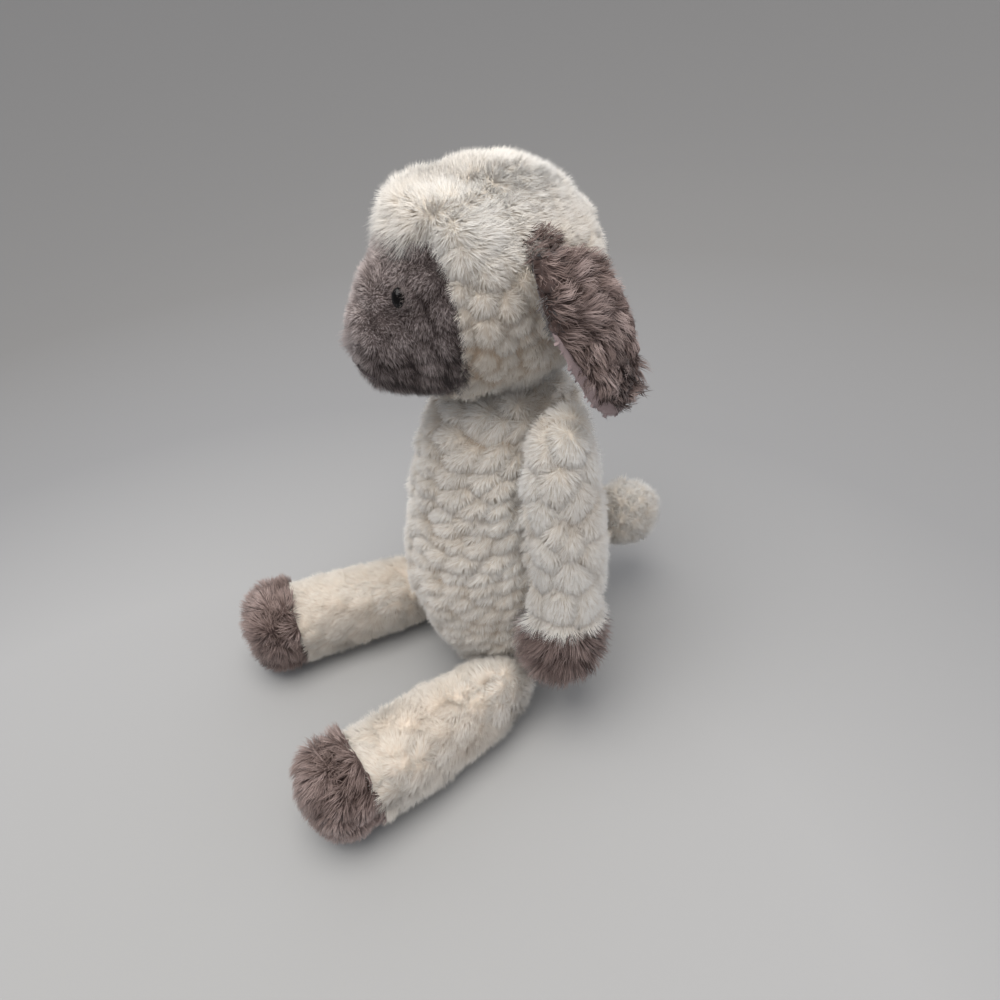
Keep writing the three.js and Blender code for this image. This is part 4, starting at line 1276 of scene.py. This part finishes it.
def dress_ear_back(side, sign, ear, lined, inset, width, seed):
    falling = fall(ear.points[:, 2], *EAR_FALL)[:, None]
    beside = close_to(inset - width.clip(0), BESIDE_STRIP)
    behind = rise(inset, *EAR_BACK)
    tip = fall(ear.points[:, 2], *EAR_TIP)
    sweep = (all_along(ear, 0.3 * sign, 1, -0.1) * (1 - falling)
             + all_along(ear, 0, 0.35, -1) * falling)
    sweep = (sweep * (1 - beside[:, None])
             + all_along(ear, 0.2 * sign, -0.6, -0.8) * beside[:, None])
    cloth = Cloth(ear, unit(sweep), depth=1.8 * MM, cobble=11 * MM, relief=2.4 * MM,
                  lock=3.4 * MM, seed=seed, lift=STRIP_LIFT * beside, wander=0.7)
    shaggy = Pile(per_mm2=2.6, length=8.5 * MM, width=0.36 * MM, nap=1.0, fan=0.25, whim=0.35,
                  mess=0.2, gather=0.6, steps=3, wave=0.14, streaks=0.5, crease_shade=1.0)
    dress(f"{side}_ear_back", cloth, ~lined, f"{side}_ear", "taupe_long_plush", shaggy,
          replaces=(f"{side}_ear_outer",),
          length_at=1 - 0.35 * beside - 0.5 * behind * (1 - tip) + 0.3 * tip,
          shade_at=-0.1 - 0.5 * beside * smoothstep(-width / STRIP_SHADOW))


# %% Line the fronts of the ears
LINING_TOP = 203 * MM
FACES_HEAD = 0.35
EDGE_ROUNDS = 8


def dress_ear_front(side, ear, lined, seed):
    cloth = Cloth(ear, all_along(ear, 0, 0.2, -1), depth=0.6 * MM, cobble=12 * MM,
                  relief=0.1 * MM, lock=2.0 * MM, seed=seed)
    bloom = Pile(per_mm2=4.5, length=0.9 * MM, width=0.21 * MM, nap=1.4, mess=0.25, gather=0.1)
    dress(f"{side}_ear_front", cloth, lined, f"{side}_ear", "pink_lining", bloom,
          replaces=(f"{side}_ear_lining",))


def dress_ear(side, sign, seed):
    ear = Form([f"{side}_ear_outer", f"{side}_ear_lining"], grid=1.1 * MM, rounds=26)
    to_outer, _ = ear.to_nodes([f"{side}_ear_outer"])
    to_lining, _ = ear.to_nodes([f"{side}_ear_lining"])
    inset, width = from_front_edge(ear.points, sign)
    to_head = -sign * ear.normals[:, 0]
    inside = (to_lining < to_outer) & ((to_head > FACES_HEAD) | (ear.points[:, 2] < LINING_TOP))
    lined = relaxed((inside | (inset < width)).astype(float)[:, None], ear.edges, EDGE_ROUNDS)
    lined = lined[ear.faces, 0].mean(1) > 0.5
    dress_ear_back(side, sign, ear, lined, inset, width, seed)
    dress_ear_front(side, ear, lined, seed + 1)


# %% [markdown]
# ## The seams of the ears
# An ear is sewn flat to the head, and its long pile spreads over that seam on both sides. If all
# of the pile rode on the ear, a gap would open when the ear lifts. So the tufts around the seam
# grow from the head's own cloth and stay on the head.

# %% Sew the ears on
SEAM_REACH = 9 * MM


def sew_ear_on(side, sign):
    gap = np.linalg.norm(head.points - EAR_ROOT * (sign, 1, 1), axis=1)
    tuft = Pile(per_mm2=4.5, length=7.5 * MM, width=0.36 * MM, nap=0.15, mess=0.35, gather=0.5,
                steps=2, crease_shade=0.6)
    grow(f"{side}_ear_seam", head_cloth, (gap < SEAM_REACH)[head.faces].all(1), "head",
         "taupe_long_plush", tuft, length_at=0.6 + 0.4 * smoothstep(2 - 2 * gap / SEAM_REACH),
         shade_at=-0.1)


for number, (side, sign) in enumerate(SIDES):
    dress_ear(side, sign, seed=40 + 2 * number)
    sew_ear_on(side, sign)

# %% [markdown]
# ## The tail
# The tail is a round puff whose tufts open like petals. Pile that follows a nap would give it a
# face and a back, so here it mostly fans from each cobble instead.

# %% Dress the tail
tail = Form(["tail_skin", "tail_stuffing"], grid=1.4 * MM, rounds=16)
tail_cloth = Cloth(tail, all_along(tail, 0, 0.6, -0.8), depth=2.8 * MM, cobble=10 * MM,
                   relief=3.0 * MM, lock=2.4 * MM, seed=50)
puff = Pile(per_mm2=4.5, length=4.6 * MM, width=0.34 * MM, nap=0.35, fan=0.4, mess=0.32,
            gather=0.35, soft=0.9, speckle=0.2, crease_shade=0.2)
dress("tail_puff", tail_cloth, everywhere(tail), "tail", "cream_wool_plush", puff,
      replaces=("tail_skin",), shade_at=0.15)

# %% [markdown]
# ## Fillings
# Inside each skin is a wad of fibre or a bag of pellets. Nobody sees them, but without them the
# skins would be empty, so they stay simple. Each is its solid from the fixed model, drawn in to
# lie clear under the cloth and pressed into soft lumps.

# %% Fill the skins
CLEAR_OF_CLOTH = 6.2 * MM
LUMP_HEIGHT = 1.2 * MM
LUMP_SPACING = 9 * MM
LUMP_ROUNDS = 6
FILLINGS = {
    "body_stuffing": ("torso", "stuffing", 0.85),
    "seat_bean_bag": ("torso", "bean_bag_cloth", 0.7),
    "neck_stuffing": ("neck", "stuffing", 0.85),
    "head_stuffing": ("head", "stuffing", 0.9),
    "tail_stuffing": ("tail", "stuffing", 0.7),
}
for side, _ in SIDES:
    FILLINGS[f"{side}_arm_stuffing"] = (f"{side}_arm", "stuffing", 0.5)
    FILLINGS[f"{side}_leg_stuffing"] = (f"{side}_leg", "stuffing", 0.5)
    FILLINGS[f"{side}_foot_bean_bag"] = (f"{side}_leg", "bean_bag_cloth", 0.6)


def add_filling(node, rides_on, slot, fill, seed):
    form = Form([node], grid=2.0 * MM, rounds=20, levels=0)
    seeds = spread_seeds(form.points, LUMP_SPACING, np.random.default_rng(seed), form.area)
    _, inside = grouped(form.points, seeds)
    sink = CLEAR_OF_CLOTH + LUMP_HEIGHT * (1 - smoothstep(inside))
    points = relaxed(form.points - form.normals * sink[:, None], form.edges, LUMP_ROUNDS)
    thing = add_object(f"{node}_wad", mesh_from(f"{node}_wad", points, form.faces))
    thing.data.materials.append(finishes[slot])
    settle(thing, rides_on, (node,))


for number, (node, details) in enumerate(FILLINGS.items()):
    add_filling(node, *details, seed=60 + number)
print("fillings:", len(FILLINGS))

# %% [markdown]
# ## Nose and mouth
# The nose and mouth are a few lengths of thread, nearly the face's colour, that are pulled down
# into the pile. Thread laid on top would look like wire, so its solid is moved back until the pile
# covers a part of it.

# %% Stitch the muzzle
THREAD_SINK = 1.4 * MM

thread = Form(["nose_and_mouth_thread"], grid=0.35 * MM, rounds=3, levels=0)
stitches = add_object("muzzle_stitches", mesh_from(
    "muzzle_stitches", thread.points + np.array([0, THREAD_SINK, 0]), thread.faces))
stitches.data.materials.append(finishes["dark_thread"])
settle(stitches, "head", ("nose_and_mouth_thread",))
print("stitch points:", len(thread.points))

# %% [markdown]
# ## The pieces
# Pile stands out from the cloth, so the finished toy is a little larger than the fixed model. The
# last cell counts the pieces that were made.

# %% Count the pieces
print("pieces:", len(pieces_made))
